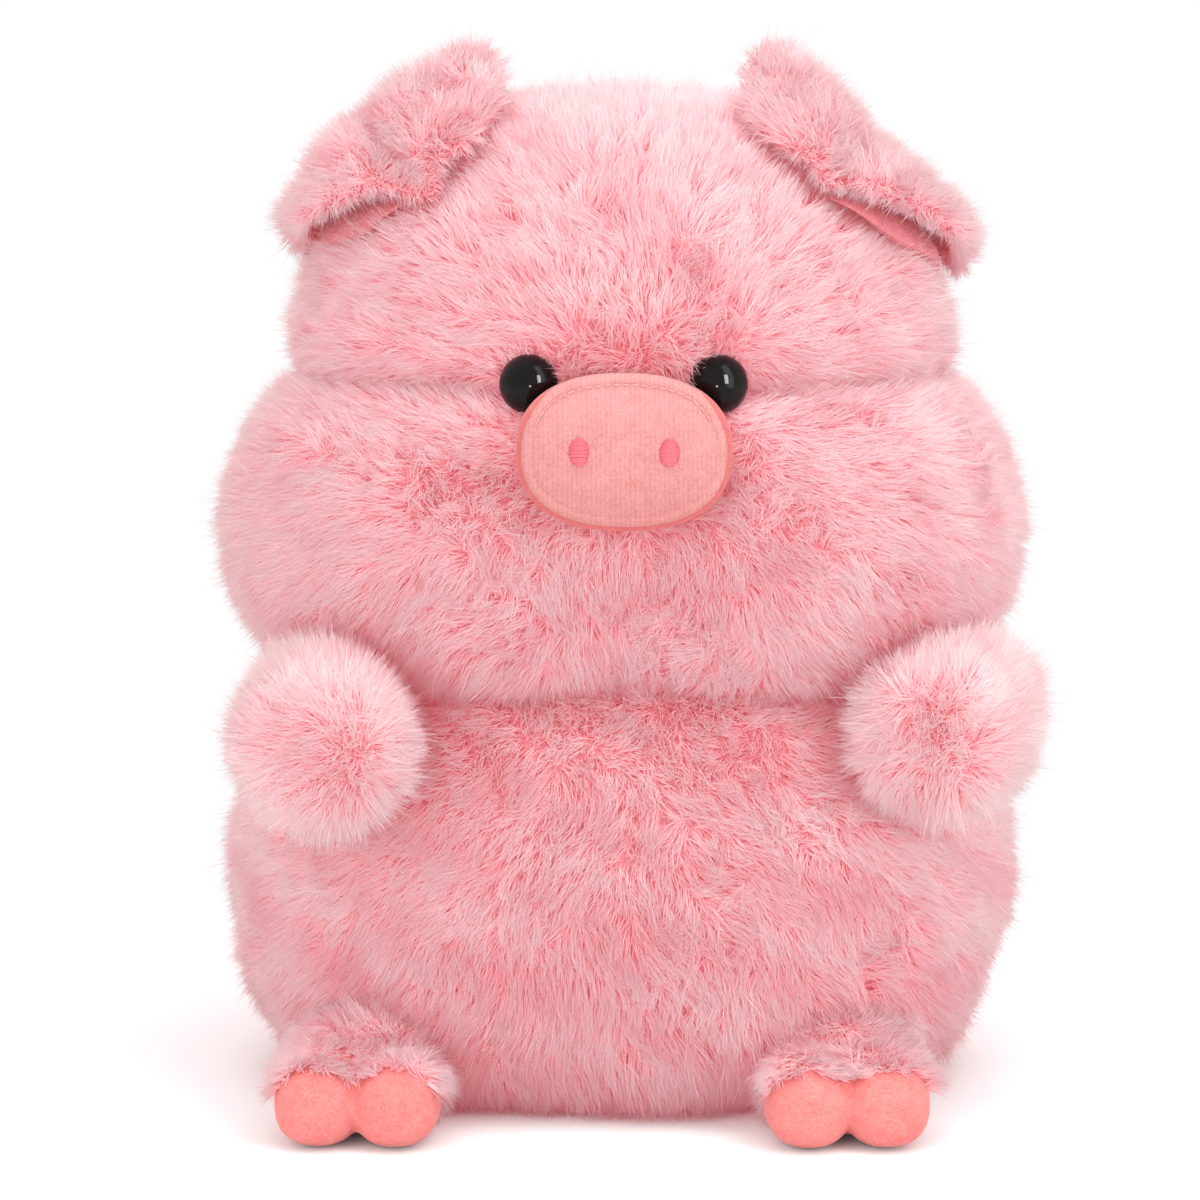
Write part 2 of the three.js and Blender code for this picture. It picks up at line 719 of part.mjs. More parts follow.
// A point of the leaf: u runs along the seam, v from the seam to the free edge
function earPoint(u, v, thickness, hem, foldDepth) {
  const reachRows = earReachShares.map((share) => [share]);
  const width = between(reachRows, u * (reachRows.length - 1), 0);
  const fromFold = ((u - ear.foldShare) * ear.length) / ear.foldHalfWidth;
  const fold = foldDepth * v * Math.exp(-fromFold * fromFold);
  const arch = ear.arch * (1 - ear.flattenShare * u) * Math.sin(Math.PI * v ** ear.archShare);
  const droop = ear.droop * (1 - ear.standOffShare * u) * v * v;
  const tuck = ear.tuck * (1 - v) ** 2;
  return earSeam
    .clone()
    .addScaledVector(earAlong, (u - 0.5) * ear.length)
    .addScaledVector(forward, v * (ear.reach - hem) * width)
    .addScaledVector(earOutward, (arch - droop - tuck - fold) * width + thickness);
}
const earAngles = [0, ear.lift / 2, ear.lift];
const earHinge = earAlong.clone().negate();
function earLeaf(sheet, outer, inner) {
  return paddedLeaf(sheet, outer, inner, ear.longSteps, ear.wideSteps);
}
const trimEar = (leaf) => clearOverTravel(leaf, headClear, earSeam, earHinge, earAngles);
const earSheet = (u, v, thickness) => earPoint(u, v, thickness, 0, ear.foldDepth);
const liningSheet = (u, v, thickness) => {
  const along = THREE.MathUtils.lerp(ear.liningFromShare, ear.liningToShare, u);
  return earPoint(along, v, thickness, ear.hem, 0);
};
const earBack = trimEar(earLeaf(earSheet, ear.furThickness, 0));
const earBackClear = earLeaf(earSheet, ear.furThickness + gap, -gap);
const earLining = trimEar(earLeaf(liningSheet, -gap, -ear.liningThickness)).subtract(earBackClear);
["left", "right"].forEach((name, i) => {
  const mirror = new THREE.Matrix4().makeScale(i ? -1 : 1, 1, 1);
  const group = groupAt(`ear_${name}`, earSeam.clone().applyMatrix4(mirror));
  place(moved(earBack, mirror), `ear_back_${name}`, pinkFur, group);
  place(moved(earLining, mirror), `ear_lining_${name}`, coralVelour, group);
});

// Arms. Each is turned to its own rest direction, and cut clear of the torso over its swing.
const torsoClear = union(bodyClear, cheeksClear);
const upright = new THREE.Vector3(0, 0, 1);
["left", "right"].forEach((name, i) => {
  const side = i ? -1 : 1;
  const at = shoulders[name];
  const pivot = new THREE.Vector3(
    (body.halfWidth - at.inset) * side,
    at.setBack - body.front,
    body.bottom + body.height - at.drop,
  );
  const aside = THREE.MathUtils.degToRad(at.aside);
  const down = THREE.MathUtils.degToRad(at.down);
  const toArm = new THREE.Matrix4()
    .makeTranslation(pivot)
    .multiply(new THREE.Matrix4().makeRotationZ(aside))
    .multiply(new THREE.Matrix4().makeRotationX(Math.PI / 2 + down));
  // The stub starts behind the shoulder, so that its round end is let into the body
  const setBack = new THREE.Matrix4().makeTranslation(0, 0, -arm.radius / 2);
  const shape = (grow, sides) => {
    const turned = new THREE.Matrix4().makeRotationX(Math.PI / 2);
    return moved(moved(moved(stub(armShares, arm.radius, arm.length, grow, sides), turned), setBack), toArm);
  };
  const angles = [0, arm.swing / 2, arm.swing].map((angle) => angle * side);
  const trim = (one) => clearOverTravel(one, torsoClear, pivot, upright, angles);
  const group = groupAt(`arm_${name}`, pivot);
  const cover = shape(0, limbSides).subtract(shape(-furWall, limbInnerSides));
  place(trim(cover), `arm_cover_${name}`, pinkFur, group);
  place(trim(shape(-furWall - gap, limbInnerSides)), `arm_stuffing_${name}`, whiteFill, group);
});

// Legs and hooves
function hoofSolid(grow) {
  const reach = hoof.padLength + hoof.toeReach;
  const toes = [1, -1].map((side) => {
    const toe = stub(toeShares, hoof.toeRadius, reach, grow);
    const shape = new THREE.Matrix4()
      .makeTranslation((hoof.halfWidth - hoof.toeRadius) * side, 0, hoof.toeHeight - gap)
      .multiply(new THREE.Matrix4().makeRotationZ(hoof.splay * side))
      .multiply(new THREE.Matrix4().makeScale(1, 1, hoof.toeHeight / hoof.toeRadius));
    const ahead = new THREE.Matrix4().makeRotationX(Math.PI);
    return moved(moved(toe, ahead), shape);
  });
  const pad = stub(toeShares, hoof.halfWidth, reach - hoof.padSetBack, grow);
  const padShape = new THREE.Matrix4()
    .makeTranslation(0, 0, hoof.padHeight / 2)
    .multiply(new THREE.Matrix4().makeScale(1, 1, hoof.padHeight / 2 / hoof.halfWidth))
    .multiply(new THREE.Matrix4().makeRotationX(Math.PI));
  return union(...toes, moved(pad, padShape));
}
["left", "right"].forEach((name, i) => {
  const side = i ? -1 : 1;
  const at = hips[name];
  const hip = { x: (body.halfWidth - at.inset) * side, y: at.setBack - body.front };
  const pivot = new THREE.Vector3(hip.x, hip.y, leg.middleZ);
  const toeOut = THREE.MathUtils.degToRad(at.toeOut) * side;
  const toLeg = new THREE.Matrix4()
    .makeTranslation(pivot)
    .multiply(new THREE.Matrix4().makeRotationZ(toeOut))
    .multiply(new THREE.Matrix4().makeScale(1, 1, leg.heightShare))
    .multiply(new THREE.Matrix4().makeRotationX(Math.PI));
  const shape = (grow, sides) => moved(stub(legShares, leg.radius, leg.length, grow, sides), toLeg);
  const toHoof = new THREE.Matrix4()
    .makeTranslation(new THREE.Vector3(hip.x, hip.y, 0))
    .multiply(new THREE.Matrix4().makeRotationZ(toeOut))
    .multiply(new THREE.Matrix4().makeTranslation(0, -leg.length + hoof.padLength, 0));
  const hoofHere = moved(hoofSolid(0), toHoof);
  const hoofClear = moved(hoofSolid(gap), toHoof);
  const angles = [0, leg.turn / 2, leg.turn].map((angle) => angle * side);
  const trim = (one) => clearOverTravel(one, bodyClear, pivot, upright, angles).subtract(floor);
  const group = groupAt(`leg_${name}`, pivot);
  const cover = shape(0, limbSides).subtract(shape(-furWall, limbInnerSides));
  const stuffing = shape(-furWall - gap, limbInnerSides);
  place(trim(cover.subtract(hoofClear)), `leg_cover_${name}`, pinkFur, group);
  place(trim(stuffing.subtract(hoofClear)), `leg_stuffing_${name}`, whiteFill, group);
  place(trim(hoofHere), `hoof_${name}`, coralVelour, group);
});

// Tail: a tapered tube that leaves the body's back and makes one curl
const tailRoot = new THREE.Vector3(0, 0, tail.rootZ);
tailRoot.setY(backOf(body, tail.rootZ));
function tailPath() {
  const points = [
    tailRoot.clone().setY(tailRoot.y - tail.radius),
    tailRoot.clone().setY(tailRoot.y + tail.rootLength / 2),
  ];
  const curlSteps = 10;
  for (let i = 0; i <= curlSteps; i++) {
    const turned = (i / curlSteps) * tail.turns;
    const angle = turned * 2 * Math.PI;
    points.push(
      new THREE.Vector3(
        tail.curlRadius * Math.sin(angle),
        tailRoot.y + tail.rootLength + tail.pitch * turned,
        tailRoot.z + tail.curlRadius * (1 - Math.cos(angle)),
      ),
    );
  }
  return new THREE.CatmullRomCurve3(points, false, "centripetal");
}
function tailSolid() {
  const path = tailPath();
  const frames = path.computeFrenetFrames(tail.steps);
  const rings = [];
  for (let i = 0; i < tail.steps; i++) {
    const at = i / tail.steps;
    const centre = path.getPointAt(at);
    const round = Math.sqrt(Math.min(1, (1 - at) * tail.steps * tail.tipRoundShare));
    const radius = tail.radius * THREE.MathUtils.lerp(1, tail.tipShare, at) * round;
    const ring = Array.from({ length: tail.sides }, (_, s) => {
      const angle = (s * 2 * Math.PI) / tail.sides;
      return centre
        .clone()
        .addScaledVector(frames.normals[i], radius * Math.cos(angle))
        .addScaledVector(frames.binormals[i], radius * Math.sin(angle));
    });
    rings.push(ring);
  }
  return skinned(rings, path.getPointAt(0), path.getPointAt(1));
}
const tailAngles = [-tail.wag, 0, tail.wag];
const tailHere = clearOverTravel(tailSolid(), bodyClear, tailRoot, upright, tailAngles);
place(tailHere, "tail", coralVelour, groupAt("tail_root", tailRoot));

export default pig;
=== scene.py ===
# %% [markdown]
# # A plush pig, dressed around its frame
# The frame is a set of plain solids with the right sizes, joints and seams. This lesson gives
# them the looks of the real toy: long combed pile, short velour, glossy eyes and stitching.
# Everything is in metres in the frame's own axes, so nothing has to be fitted afterwards.

import math

import bmesh
import bpy
import numpy as np
from mathutils import Matrix, Vector
from mathutils.kdtree import KDTree


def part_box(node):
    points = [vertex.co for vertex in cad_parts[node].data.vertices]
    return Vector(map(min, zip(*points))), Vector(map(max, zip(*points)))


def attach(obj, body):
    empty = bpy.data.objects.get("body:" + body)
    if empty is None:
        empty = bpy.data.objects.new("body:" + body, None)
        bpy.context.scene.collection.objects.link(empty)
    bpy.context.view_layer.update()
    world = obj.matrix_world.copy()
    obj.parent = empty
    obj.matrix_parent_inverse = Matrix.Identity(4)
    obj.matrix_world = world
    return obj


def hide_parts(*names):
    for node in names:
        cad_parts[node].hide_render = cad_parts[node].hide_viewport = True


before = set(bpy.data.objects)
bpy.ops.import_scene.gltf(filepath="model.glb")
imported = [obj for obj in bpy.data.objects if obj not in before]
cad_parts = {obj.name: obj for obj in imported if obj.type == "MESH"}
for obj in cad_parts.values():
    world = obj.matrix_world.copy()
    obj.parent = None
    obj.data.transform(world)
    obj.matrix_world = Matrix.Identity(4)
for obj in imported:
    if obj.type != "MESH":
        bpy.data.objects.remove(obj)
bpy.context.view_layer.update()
bpy.context.scene.view_settings.view_transform = "Standard"

# %% [markdown]
# ## Camera
# The photograph was taken from a metre away with a long lens, a little above the toy's middle.
# A long lens keeps the round body from bulging towards the viewer. The distance and height
# come from where the two hooves, the seat and the crown lie in the picture.



# %% Camera
def in_scene(name, data):
    """A new object in the scene for a mesh, a lamp or a camera."""
    made = bpy.data.objects.new(name, data)
    bpy.context.scene.collection.objects.link(made)
    return made


MM = 0.001
camera_distance = 1000 * MM
camera_rise = math.radians(7)
camera_aim = Vector((-5.5, 0, 118.7)) * MM

camera_data = bpy.data.cameras.new("photo_camera")
camera_data.lens = 120
camera_data.sensor_width = 36
camera = in_scene("photo_camera", camera_data)
towards_camera = Vector((0, -math.cos(camera_rise), math.sin(camera_rise)))
camera.location = camera_aim + towards_camera * camera_distance
camera.rotation_euler = (-towards_camera).to_track_quat("-Z", "Y").to_euler()
bpy.context.scene.camera = camera
print("camera at, mm:", [round(c * 1000) for c in camera.location])

# %% [markdown]
# ## Colour and node helpers
# Colours are written as the eye sees them, in hex, and turned to the linear values that light
# adds up in. One small function adds a node, sets it and links it, so that a material below
# reads as a list of its ingredients.


# %% Helpers for materials
def linear(hex_colour):
    """A hex colour as the eye sees it, as linear red, green, blue and alpha."""
    parts = [int(hex_colour[i : i + 2], 16) / 255 for i in (1, 3, 5)]
    return [p / 12.92 if p <= 0.04045 else ((p + 0.055) / 1.055) ** 2.4 for p in parts] + [1]


def add(tree, kind, inputs=None, **settings):
    """Adds a node, sets its settings and fills its sockets, each with a value or a link."""
    made = tree.nodes.new(kind)
    for name, value in settings.items():
        setattr(made, name, value)
    for name, value in (inputs or {}).items():
        if isinstance(value, bpy.types.NodeSocket):
            tree.links.new(value, made.inputs[name])
        else:
            made.inputs[name].default_value = value
    return made


def new_material(name):
    """A material with only its output node."""
    made = bpy.data.materials.new(name)
    made.use_nodes = True
    made.node_tree.nodes.clear()
    return made, made.node_tree, made.node_tree.nodes.new("ShaderNodeOutputMaterial")


def set_ramp(ramp_node, stops):
    """Gives a colour ramp its stops, each a place and a hex colour."""
    elements = ramp_node.color_ramp.elements
    while len(elements) < len(stops):
        elements.new(0.5)
    for element, (place, colour) in zip(elements, stops):
        element.position = place
        element.color = linear(colour)


def two_tone(name, texture, settings, stops, looks, relief=None):
    """A material of two tones that wander with a texture, which can also give it relief."""
    material, tree, out = new_material(name)
    where = add(tree, "ShaderNodeTexCoord").outputs["Object"]
    pattern = add(tree, texture, {"Vector": where, **settings}).outputs["Fac"]
    tone = add(tree, "ShaderNodeValToRGB", {0: pattern})
    set_ramp(tone, stops)
    if relief:
        bump = add(tree, "ShaderNodeBump", {"Height": pattern, **relief})
        looks = {**looks, "Normal": bump.outputs["Normal"]}
    shader = add(tree, "ShaderNodeBsdfPrincipled", {"Base Color": tone.outputs["Color"], **looks})
    tree.links.new(shader.outputs[0], out.inputs["Surface"])
    return material


def dress(piece, material):
    """Gives a piece one material."""
    piece.data.materials.clear()
    piece.data.materials.append(material)


def settle(piece, finish, body_name, slot, node=None, fill=None):
    """Gives a piece its finish and its body, and hides the node it stands for; the name of its
    material is not used.
    """
    dress(piece, finish)
    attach(piece, body_name)
    if node:
        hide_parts(node)
    print(f"{piece.name}: {len(piece.data.polygons)} faces, on {body_name}")
    return piece


# %% [markdown]
# ## Floor, backdrop and light
# The photograph is a plain studio shot: white table, white background, a big soft light a
# little to the right of the camera and a weaker one on the left. The table is white cloth
# paper, which keeps the toy's soft shadow. Away from the toy it fades into the white backdrop,
# and the world is white only where the camera looks at it, so that no extra light falls on
# the toy.

# %% Floor and backdrop
paper, tree, out = new_material("white_studio_paper")
where = add(tree, "ShaderNodeTexCoord")
from_toy = add(tree, "ShaderNodeVectorMath", {0: where.outputs["Object"]}, operation="LENGTH")
fade = {"Value": from_toy.outputs["Value"], "From Min": 0.11, "From Max": 0.25}
fade = add(tree, "ShaderNodeMapRange", fade, interpolation_type="SMOOTHSTEP")
rays = add(tree, "ShaderNodeLightPath")
seen = {0: rays.outputs["Is Camera Ray"], 1: rays.outputs["Is Glossy Ray"]}
seen = add(tree, "ShaderNodeMath", seen, operation="MAXIMUM")
far_and_seen = {0: fade.outputs["Result"], 1: seen.outputs[0]}
far_and_seen = add(tree, "ShaderNodeMath", far_and_seen, operation="MULTIPLY")
matte = add(tree, "ShaderNodeBsdfDiffuse", {"Color": linear("#f6fafa"), "Roughness": 1})
glow = add(tree, "ShaderNodeEmission", {"Color": [1, 1, 1, 1], "Strength": 1})
mixed = {0: far_and_seen.outputs[0], 1: matte.outputs[0], 2: glow.outputs[0]}
mixed = add(tree, "ShaderNodeMixShader", mixed)
tree.links.new(mixed.outputs[0], out.inputs["Surface"])

bpy.ops.object.select_all(action="DESELECT")
bpy.ops.mesh.primitive_circle_add(vertices=96, radius=2.5, fill_type="NGON", location=(0, 0, 0))
floor = bpy.context.object
floor.name = "studio_floor"
dress(floor, paper)

world = bpy.data.worlds.new("studio_world")
bpy.context.scene.world = world
world.use_nodes = True
tree = world.node_tree
tree.nodes.clear()
rays = add(tree, "ShaderNodeLightPath")
seen = {0: rays.outputs["Is Camera Ray"], 1: rays.outputs["Is Transmission Ray"]}
seen = add(tree, "ShaderNodeMath", seen, operation="MAXIMUM")
room = add(tree, "ShaderNodeBackground", {"Color": linear("#fffafa"), "Strength": 0.8})
white = add(tree, "ShaderNodeBackground", {"Color": [1, 1, 1, 1], "Strength": 1})
both = {0: seen.outputs[0], 1: room.outputs[0], 2: white.outputs[0]}
both = add(tree, "ShaderNodeMixShader", both)
add(tree, "ShaderNodeOutputWorld", {"Surface": both.outputs[0]})

# %% [markdown]
# The lamps are softboxes, which are rectangles of light. The eyes mirror them, so their shape
# and place also draw the window-like glint on each eye.


# %% Lamps
def softbox(name, place, wide, high, watts):
    """A rectangular lamp at a place in millimetres, turned to face the toy's middle."""
    data = bpy.data.lights.new(name, "AREA")
    data.shape = "RECTANGLE"
    data.size, data.size_y = wide * MM, high * MM
    data.energy = watts
    lamp = in_scene(name, data)
    lamp.location = Vector(place) * MM
    towards_toy = Vector((0, 0, 130)) - Vector(place)
    lamp.rotation_euler = towards_toy.to_track_quat("-Z", "Y").to_euler()
    return lamp


softbox("key_softbox", (620, -640, 480), 400, 1900, 5.6)
fill = softbox("fill_softbox", (-700, -1150, 330), 1300, 1200, 6.8)
top = softbox("top_softbox", (0, -200, 1300), 1100, 900, 7)
softbox("back_softbox", (0, 1300, 900), 1100, 700, 5)
fill.visible_glossy = top.visible_glossy = False  # the eyes don't mirror these two
window = softbox("window_light", (420, -700, 420), 170, 420, 6.5)
spot = softbox("catch_light", (-8, -1020, 95), 110, 80, 1)
window.visible_diffuse = spot.visible_diffuse = False  # they only draw the glints

# %% [markdown]
# ## The sewn forms
# Each fur cover is a stuffed form: rings that swell and taper up the body, rounded ovals in
# plan, with a press in the middle of the cheeks where the snout is sewn on. The same tables
# as in the frame give the forms here, in millimetres. The cloth lies under the tips of the
# pile by the pile's depth, so every form can be asked for a little smaller or larger.

# %% Tables of the forms
body = dict(
    bottom=0, height=118, flat=True, half_width=98.3, front=79, back=72, squareness=2.15, dip=0,
    dip_width=1, taper=0.06,  # the pig's left side is sewn a little further in at the seat
    rows=[
        (0, 0.66, 0.6, 0.68, 0), (0.03, 0.79, 0.72, 0.8, 0), (0.09, 0.88, 0.83, 0.88, 0),
        (0.17, 0.935, 0.91, 0.94, 0), (0.28, 0.975, 0.965, 0.98, 0), (0.43, 1, 1, 1, 0),
        (0.57, 0.99, 0.99, 0.99, 0), (0.71, 0.945, 0.945, 0.95, 0), (0.84, 0.85, 0.84, 0.86, 0),
        (0.94, 0.62, 0.62, 0.63, 0), (1, 0, 0, 0, 0),
    ],
)
cheeks = dict(
    bottom=90, height=96, half_width=99.8, front=83, back=70, squareness=2.2, dip=9, dip_width=25,
    rows=[
        (0, 0, 0, 0, 0), (0.03, 0.42, 0.42, 0.42, 0.2), (0.09, 0.7, 0.7, 0.7, 0.5),
        (0.17, 0.87, 0.86, 0.87, 0.9), (0.26, 0.945, 0.94, 0.945, 1),
        (0.38, 0.985, 0.985, 0.985, 1), (0.52, 1, 1, 1, 1), (0.64, 0.98, 0.98, 0.98, 1),
        (0.76, 0.94, 0.94, 0.94, 0.9), (0.86, 0.87, 0.87, 0.87, 0.6),
        (0.93, 0.73, 0.73, 0.73, 0.3), (0.975, 0.46, 0.46, 0.46, 0), (1, 0, 0, 0, 0),
    ],
)
crown = dict(
    bottom=160, height=87.5, half_width=82.4, front=69, back=65, squareness=2.15, dip=0,
    dip_width=1,
    rows=[
        (0, 0, 0, 0, 0), (0.04, 0.6, 0.6, 0.6, 0), (0.1, 0.87, 0.87, 0.87, 0),
        (0.18, 0.975, 0.975, 0.975, 0), (0.28, 1, 1, 1, 0), (0.4, 0.97, 0.97, 0.97, 0),
        (0.55, 0.91, 0.91, 0.91, 0), (0.69, 0.81, 0.81, 0.81, 0), (0.81, 0.68, 0.67, 0.68, 0),
        (0.905, 0.51, 0.5, 0.51, 0), (0.965, 0.32, 0.32, 0.32, 0), (1, 0, 0, 0, 0),
    ],
)
snout = dict(
    middle_z=162.5, half_width=24.4, half_height=17.6, squareness=2.35, dome=3.2, tilt=0.5,
)
eye = dict(radius=7, dome=6.2, flange=0.9, x=21.9, z=177, turn=math.radians(9))
SIDES = (("left", 1), ("right", -1))  # the pig's own, and which way they lie along X


# %% Smooth shapes that come back
def hump(x, width, middle=0):
    """A smooth hump of height one, which is nearly gone at twice its width."""
    return np.exp(-(((x - middle) / width) ** 2))


def once_round(sides):
    """Angles once round, with the first one again at the end."""
    return np.linspace(0, 2 * np.pi, sides + 1)


def oval(angle, squareness):
    """A rounded oval's two coordinates at an angle, for half sizes of one."""
    c, s = np.cos(angle), np.sin(angle)
    power = 2 / squareness
    return np.sign(c) * np.abs(c) ** power, np.sign(s) * np.abs(s) ** power


def oval_share(x, y, half_x, half_y, squareness):
    """Under 1 where a place is inside a rounded oval, over 1 where it is outside."""
    share = (np.abs(x) / half_x) ** squareness + (np.abs(y) / half_y) ** squareness
    return share ** (1 / squareness)


# %% The forms as smooth surfaces
def between(rows, at):
    """Rows of a table on a smooth curve through them, at whole and broken row numbers."""
    table = np.array(rows, float)
    last = len(table) - 1
    at = np.asarray(at, float)
    i = np.minimum(np.floor(at).astype(int), last - 1)
    t = (at - i)[..., None]
    a, b, c, d = (table[np.clip(i + k, 0, last)] for k in (-1, 0, 1, 2))
    bend = 2 * a - 5 * b + 4 * c - d
    twist = 3 * b - a - 3 * c + d
    return np.maximum(0, (2 * b + (c - a) * t + bend * t**2 + twist * t**3) / 2)


def rings(form, at, grow):
    """Height, half width, front, back and dip of a form's rings, in millimetres."""
    shares = between(form["rows"], at)
    under = -0.5 if form.get("flat") else grow
    return (
        form["bottom"] - under + shares[..., 0] * (form["height"] + grow + under),
        shares[..., 1] * (form["half_width"] + grow),
        shares[..., 2] * (form["front"] + grow),
        shares[..., 3] * (form["back"] + grow),
        shares[..., 4] * form["dip"],
    )


TAPER_TOP = 50  # the height up to which a form is drawn in on the pig's left


def form_grid(form, grow, steps=150, sides=240):
    """A form as a grid of surface points: rows go up, columns go round and close up."""
    at = np.linspace(0, len(form["rows"]) - 1, steps)
    z, half, front, back, dip = (v[:, None] for v in rings(form, at, grow))
    across, along = oval(once_round(sides)[None, :], form["squareness"])
    x = across * half
    x = np.where(x > 0, x * (1 - form.get("taper", 0) * np.clip(1 - z / TAPER_TOP, 0, 1)), x)
    dent = dip * hump(x, form["dip_width"])
    y = np.where(along < 0, along * (front - dent), along * back)
    return np.stack(np.broadcast_arrays(x, y, z), -1)


def how_deep(form, points, grow=0):
    """Under 1 where a point is inside the form, over 1 where it is outside."""
    at = np.linspace(0, len(form["rows"]) - 1, 400)
    z, *ring = rings(form, at, grow)
    half, front, back, dip = (np.interp(points[:, 2], z, r) for r in ring)
    x, y = points[:, 0], points[:, 1]
    dent = dip * hump(x, form["dip_width"])
    reach = np.maximum(np.where(y < 0, front - dent, back), 1e-3)
    share = oval_share(x, y, np.maximum(half, 1e-3), reach, form["squareness"])
    outside = (points[:, 2] < z[0]) | (points[:, 2] > z[-1])
    return np.where(outside, 9, share)


def front_of(form, x, z):
    """How far forward a form's surface lies at a place of its front."""
    lo, hi = -2 * form["front"], 0
    for _ in range(30):
        middle = (lo + hi) / 2
        inside = how_deep(form, np.array([[x, middle, z]]))[0] < 1
        lo, hi = (lo, middle) if inside else (middle, hi)
    return hi


print("front of the cheeks at the snout, mm:", round(front_of(cheeks, 0, snout["middle_z"]), 2))


# %% [markdown]
# ## How the pile is made
# Plush is a knitted cloth with fibres standing out of it, 6 to 7 mm long here and finer than
# a hair. They lean the way the cloth was brushed, and they cling together in small locks whose
# tips are pale and whose depths are a deeper pink. Hair particles would show this well but
# are no mesh, so other programs couldn't use them. Here each fibre is a real thin blade, a
# spike with three sides. At its root a blade is about six times as thick as the real fibre, as
# fine as the picture can show, and over half a million blades cover the toy.
#
# First come the roots, one for each lock. Places tried at random would leave bald spots, so
# a place is kept only where no kept one is near, which spreads the roots evenly.

# %% Roots of the locks
PILE_DEPTH = 4.7  # of the standing pile, from the cloth to the tips, in millimetres
CANDIDATES = 3  # places tried for each root, so that the roots come out evenly spread
ELBOW_ROOM = 0.76  # of the spacing: no two roots are closer


def unit(vectors):
    """Vectors scaled to length one."""
    return vectors / np.maximum(np.linalg.norm(vectors, axis=-1, keepdims=True), 1e-9)


def finder(places):
    """A tree that finds which of some places are near another."""
    tree = KDTree(len(places))
    for k, place in enumerate(places):
        tree.insert(place, k)
    tree.balance()
    return tree


def scatter(grid, spacing, rng):
    """Places about a spacing apart on a grid of points, their outward normals and the cells."""
    a, b, c, d = grid[:-1, :-1], grid[1:, :-1], grid[1:, 1:], grid[:-1, 1:]
    facing = np.cross(c - a, d - b)
    area = np.linalg.norm(facing, axis=-1) / 2
    middle = grid.reshape(-1, 3).mean(0)
    if np.sum(facing * ((a + c) / 2 - middle)) < 0:
        facing = -facing
    total = np.cumsum(area.ravel())
    count = int(CANDIDATES * total[-1] / spacing**2)
    picked = np.searchsorted(total, (np.arange(count) + rng.random(count)) * total[-1] / count)
    i, j = np.divmod(np.minimum(picked, area.size - 1), area.shape[1])
    s, t = rng.random((2, count, 1))
    places = (1 - s) * ((1 - t) * a[i, j] + t * d[i, j]) + s * ((1 - t) * b[i, j] + t * c[i, j])
    tree, free, kept = finder(places), np.ones(count, bool), []
    for k in rng.permutation(count):
        if free[k]:
            kept.append(k)
            for _, near, _ in tree.find_range(places[k], ELBOW_ROOM * spacing):
                free[near] = False
    kept = np.sort(kept)
    i, j = i[kept], j[kept]
    return places[kept], unit(facing[i, j]), i + s[kept, 0], j + t[kept, 0]


# %% Waves and ways
def waves(points, seed, shortest=10, longest=36, count=8):
    """A smoothly wandering vector at each point, the sum of a few random waves."""
    rng = np.random.default_rng(seed)
    total = np.zeros_like(points)
    for _ in range(count):
        way = unit(rng.normal(size=3))
        push = rng.normal(size=3)
        phase, length = rng.uniform(0, 2 * np.pi), rng.uniform(shortest, longest)
        total += push * np.sin(points @ way * (2 * np.pi / length) + phase)[:, None]
    return total / math.sqrt(count)


def along_surface(vectors, normals):
    """Vectors laid flat on the surface, with length one."""
    return unit(vectors - normals * np.sum(vectors * normals, -1, keepdims=True))


# %% [markdown]
# Then the blades grow. Those of one lock start around its root and close up towards its tip.
# Each corner carries a made-up normal, the blade's own bent towards that of the cloth
# underneath, so that the fur takes light softly like the real thing and doesn't glitter like
# cut paper. Two numbers per blade go into a UV map: how pale the blade is, and how far along
# it a corner lies.

# %% Blades of pile
FLOOR_CLEAR = 0.5
BLADE_HALF = 0.16  # of a blade's thickness at its root
LOCK_RADIUS = 1.5  # within which a lock's blades start
GATHER = 0.42  # of the way to the lock's own tip, by which its blades close up
LOOSE = 0.2  # the share of blades that hardly close up, and the share of the way that they do
UNEVEN, STRAY = 0.14, 0.24  # how much blades differ in length and in their way
SOFTNESS = 0.35  # of the made-up normals: how much of the cloth's normal is added to them
blade_counts = []


def blades(places, normals, comb, length, lift, tint, pull, rng, per_lock):
    """Corners, normals and paleness of the blades of some locks, in millimetres."""
    who = np.repeat(np.arange(len(places)), per_lock)
    n, c = normals[who], comb[who]
    angle, far = rng.uniform(0, 2 * np.pi, len(who)), np.sqrt(rng.random(len(who)))
    offset = c * (np.cos(angle) * far)[:, None] + np.cross(n, c) * (np.sin(angle) * far)[:, None]
    root = places[who] + offset * LOCK_RADIUS
    way = c * np.cos(lift[who])[:, None] + n * np.sin(lift[who])[:, None] + pull[who]
    reach = (length[who] * rng.normal(1, UNEVEN, len(who)))[:, None]
    stray = rng.normal(0, STRAY, (len(who), 3))
    tip = root + (way + stray) * reach
    lock_tip = places[who] + way * length[who][:, None]
    loose = np.where(rng.random(len(who)) < LOOSE, LOOSE, 1)[:, None]
    tip = tip + (lock_tip - tip) * GATHER * loose
    way = unit(tip - root)
    one = unit(np.cross(way, n + stray))
    two = np.cross(way, one)
    half = (BLADE_HALF * rng.uniform(0.8, 1.2, len(who)))[:, None]
    out = [one * math.cos(k * math.tau / 3) + two * math.sin(k * math.tau / 3) for k in range(3)]
    corners = np.stack([root + o * half for o in out] + [tip], 1)
    corners[..., 2] = np.maximum(corners[..., 2], FLOOR_CLEAR)
    soft = SOFTNESS * (n + 0.4 * offset)
    shade = np.stack([soft + o for o in out] + [soft + way], 1)
    pale = np.clip(tint[who] + rng.normal(0, 0.1, len(who)), 0.02, 0.98)
    return corners, unit(shade), pale


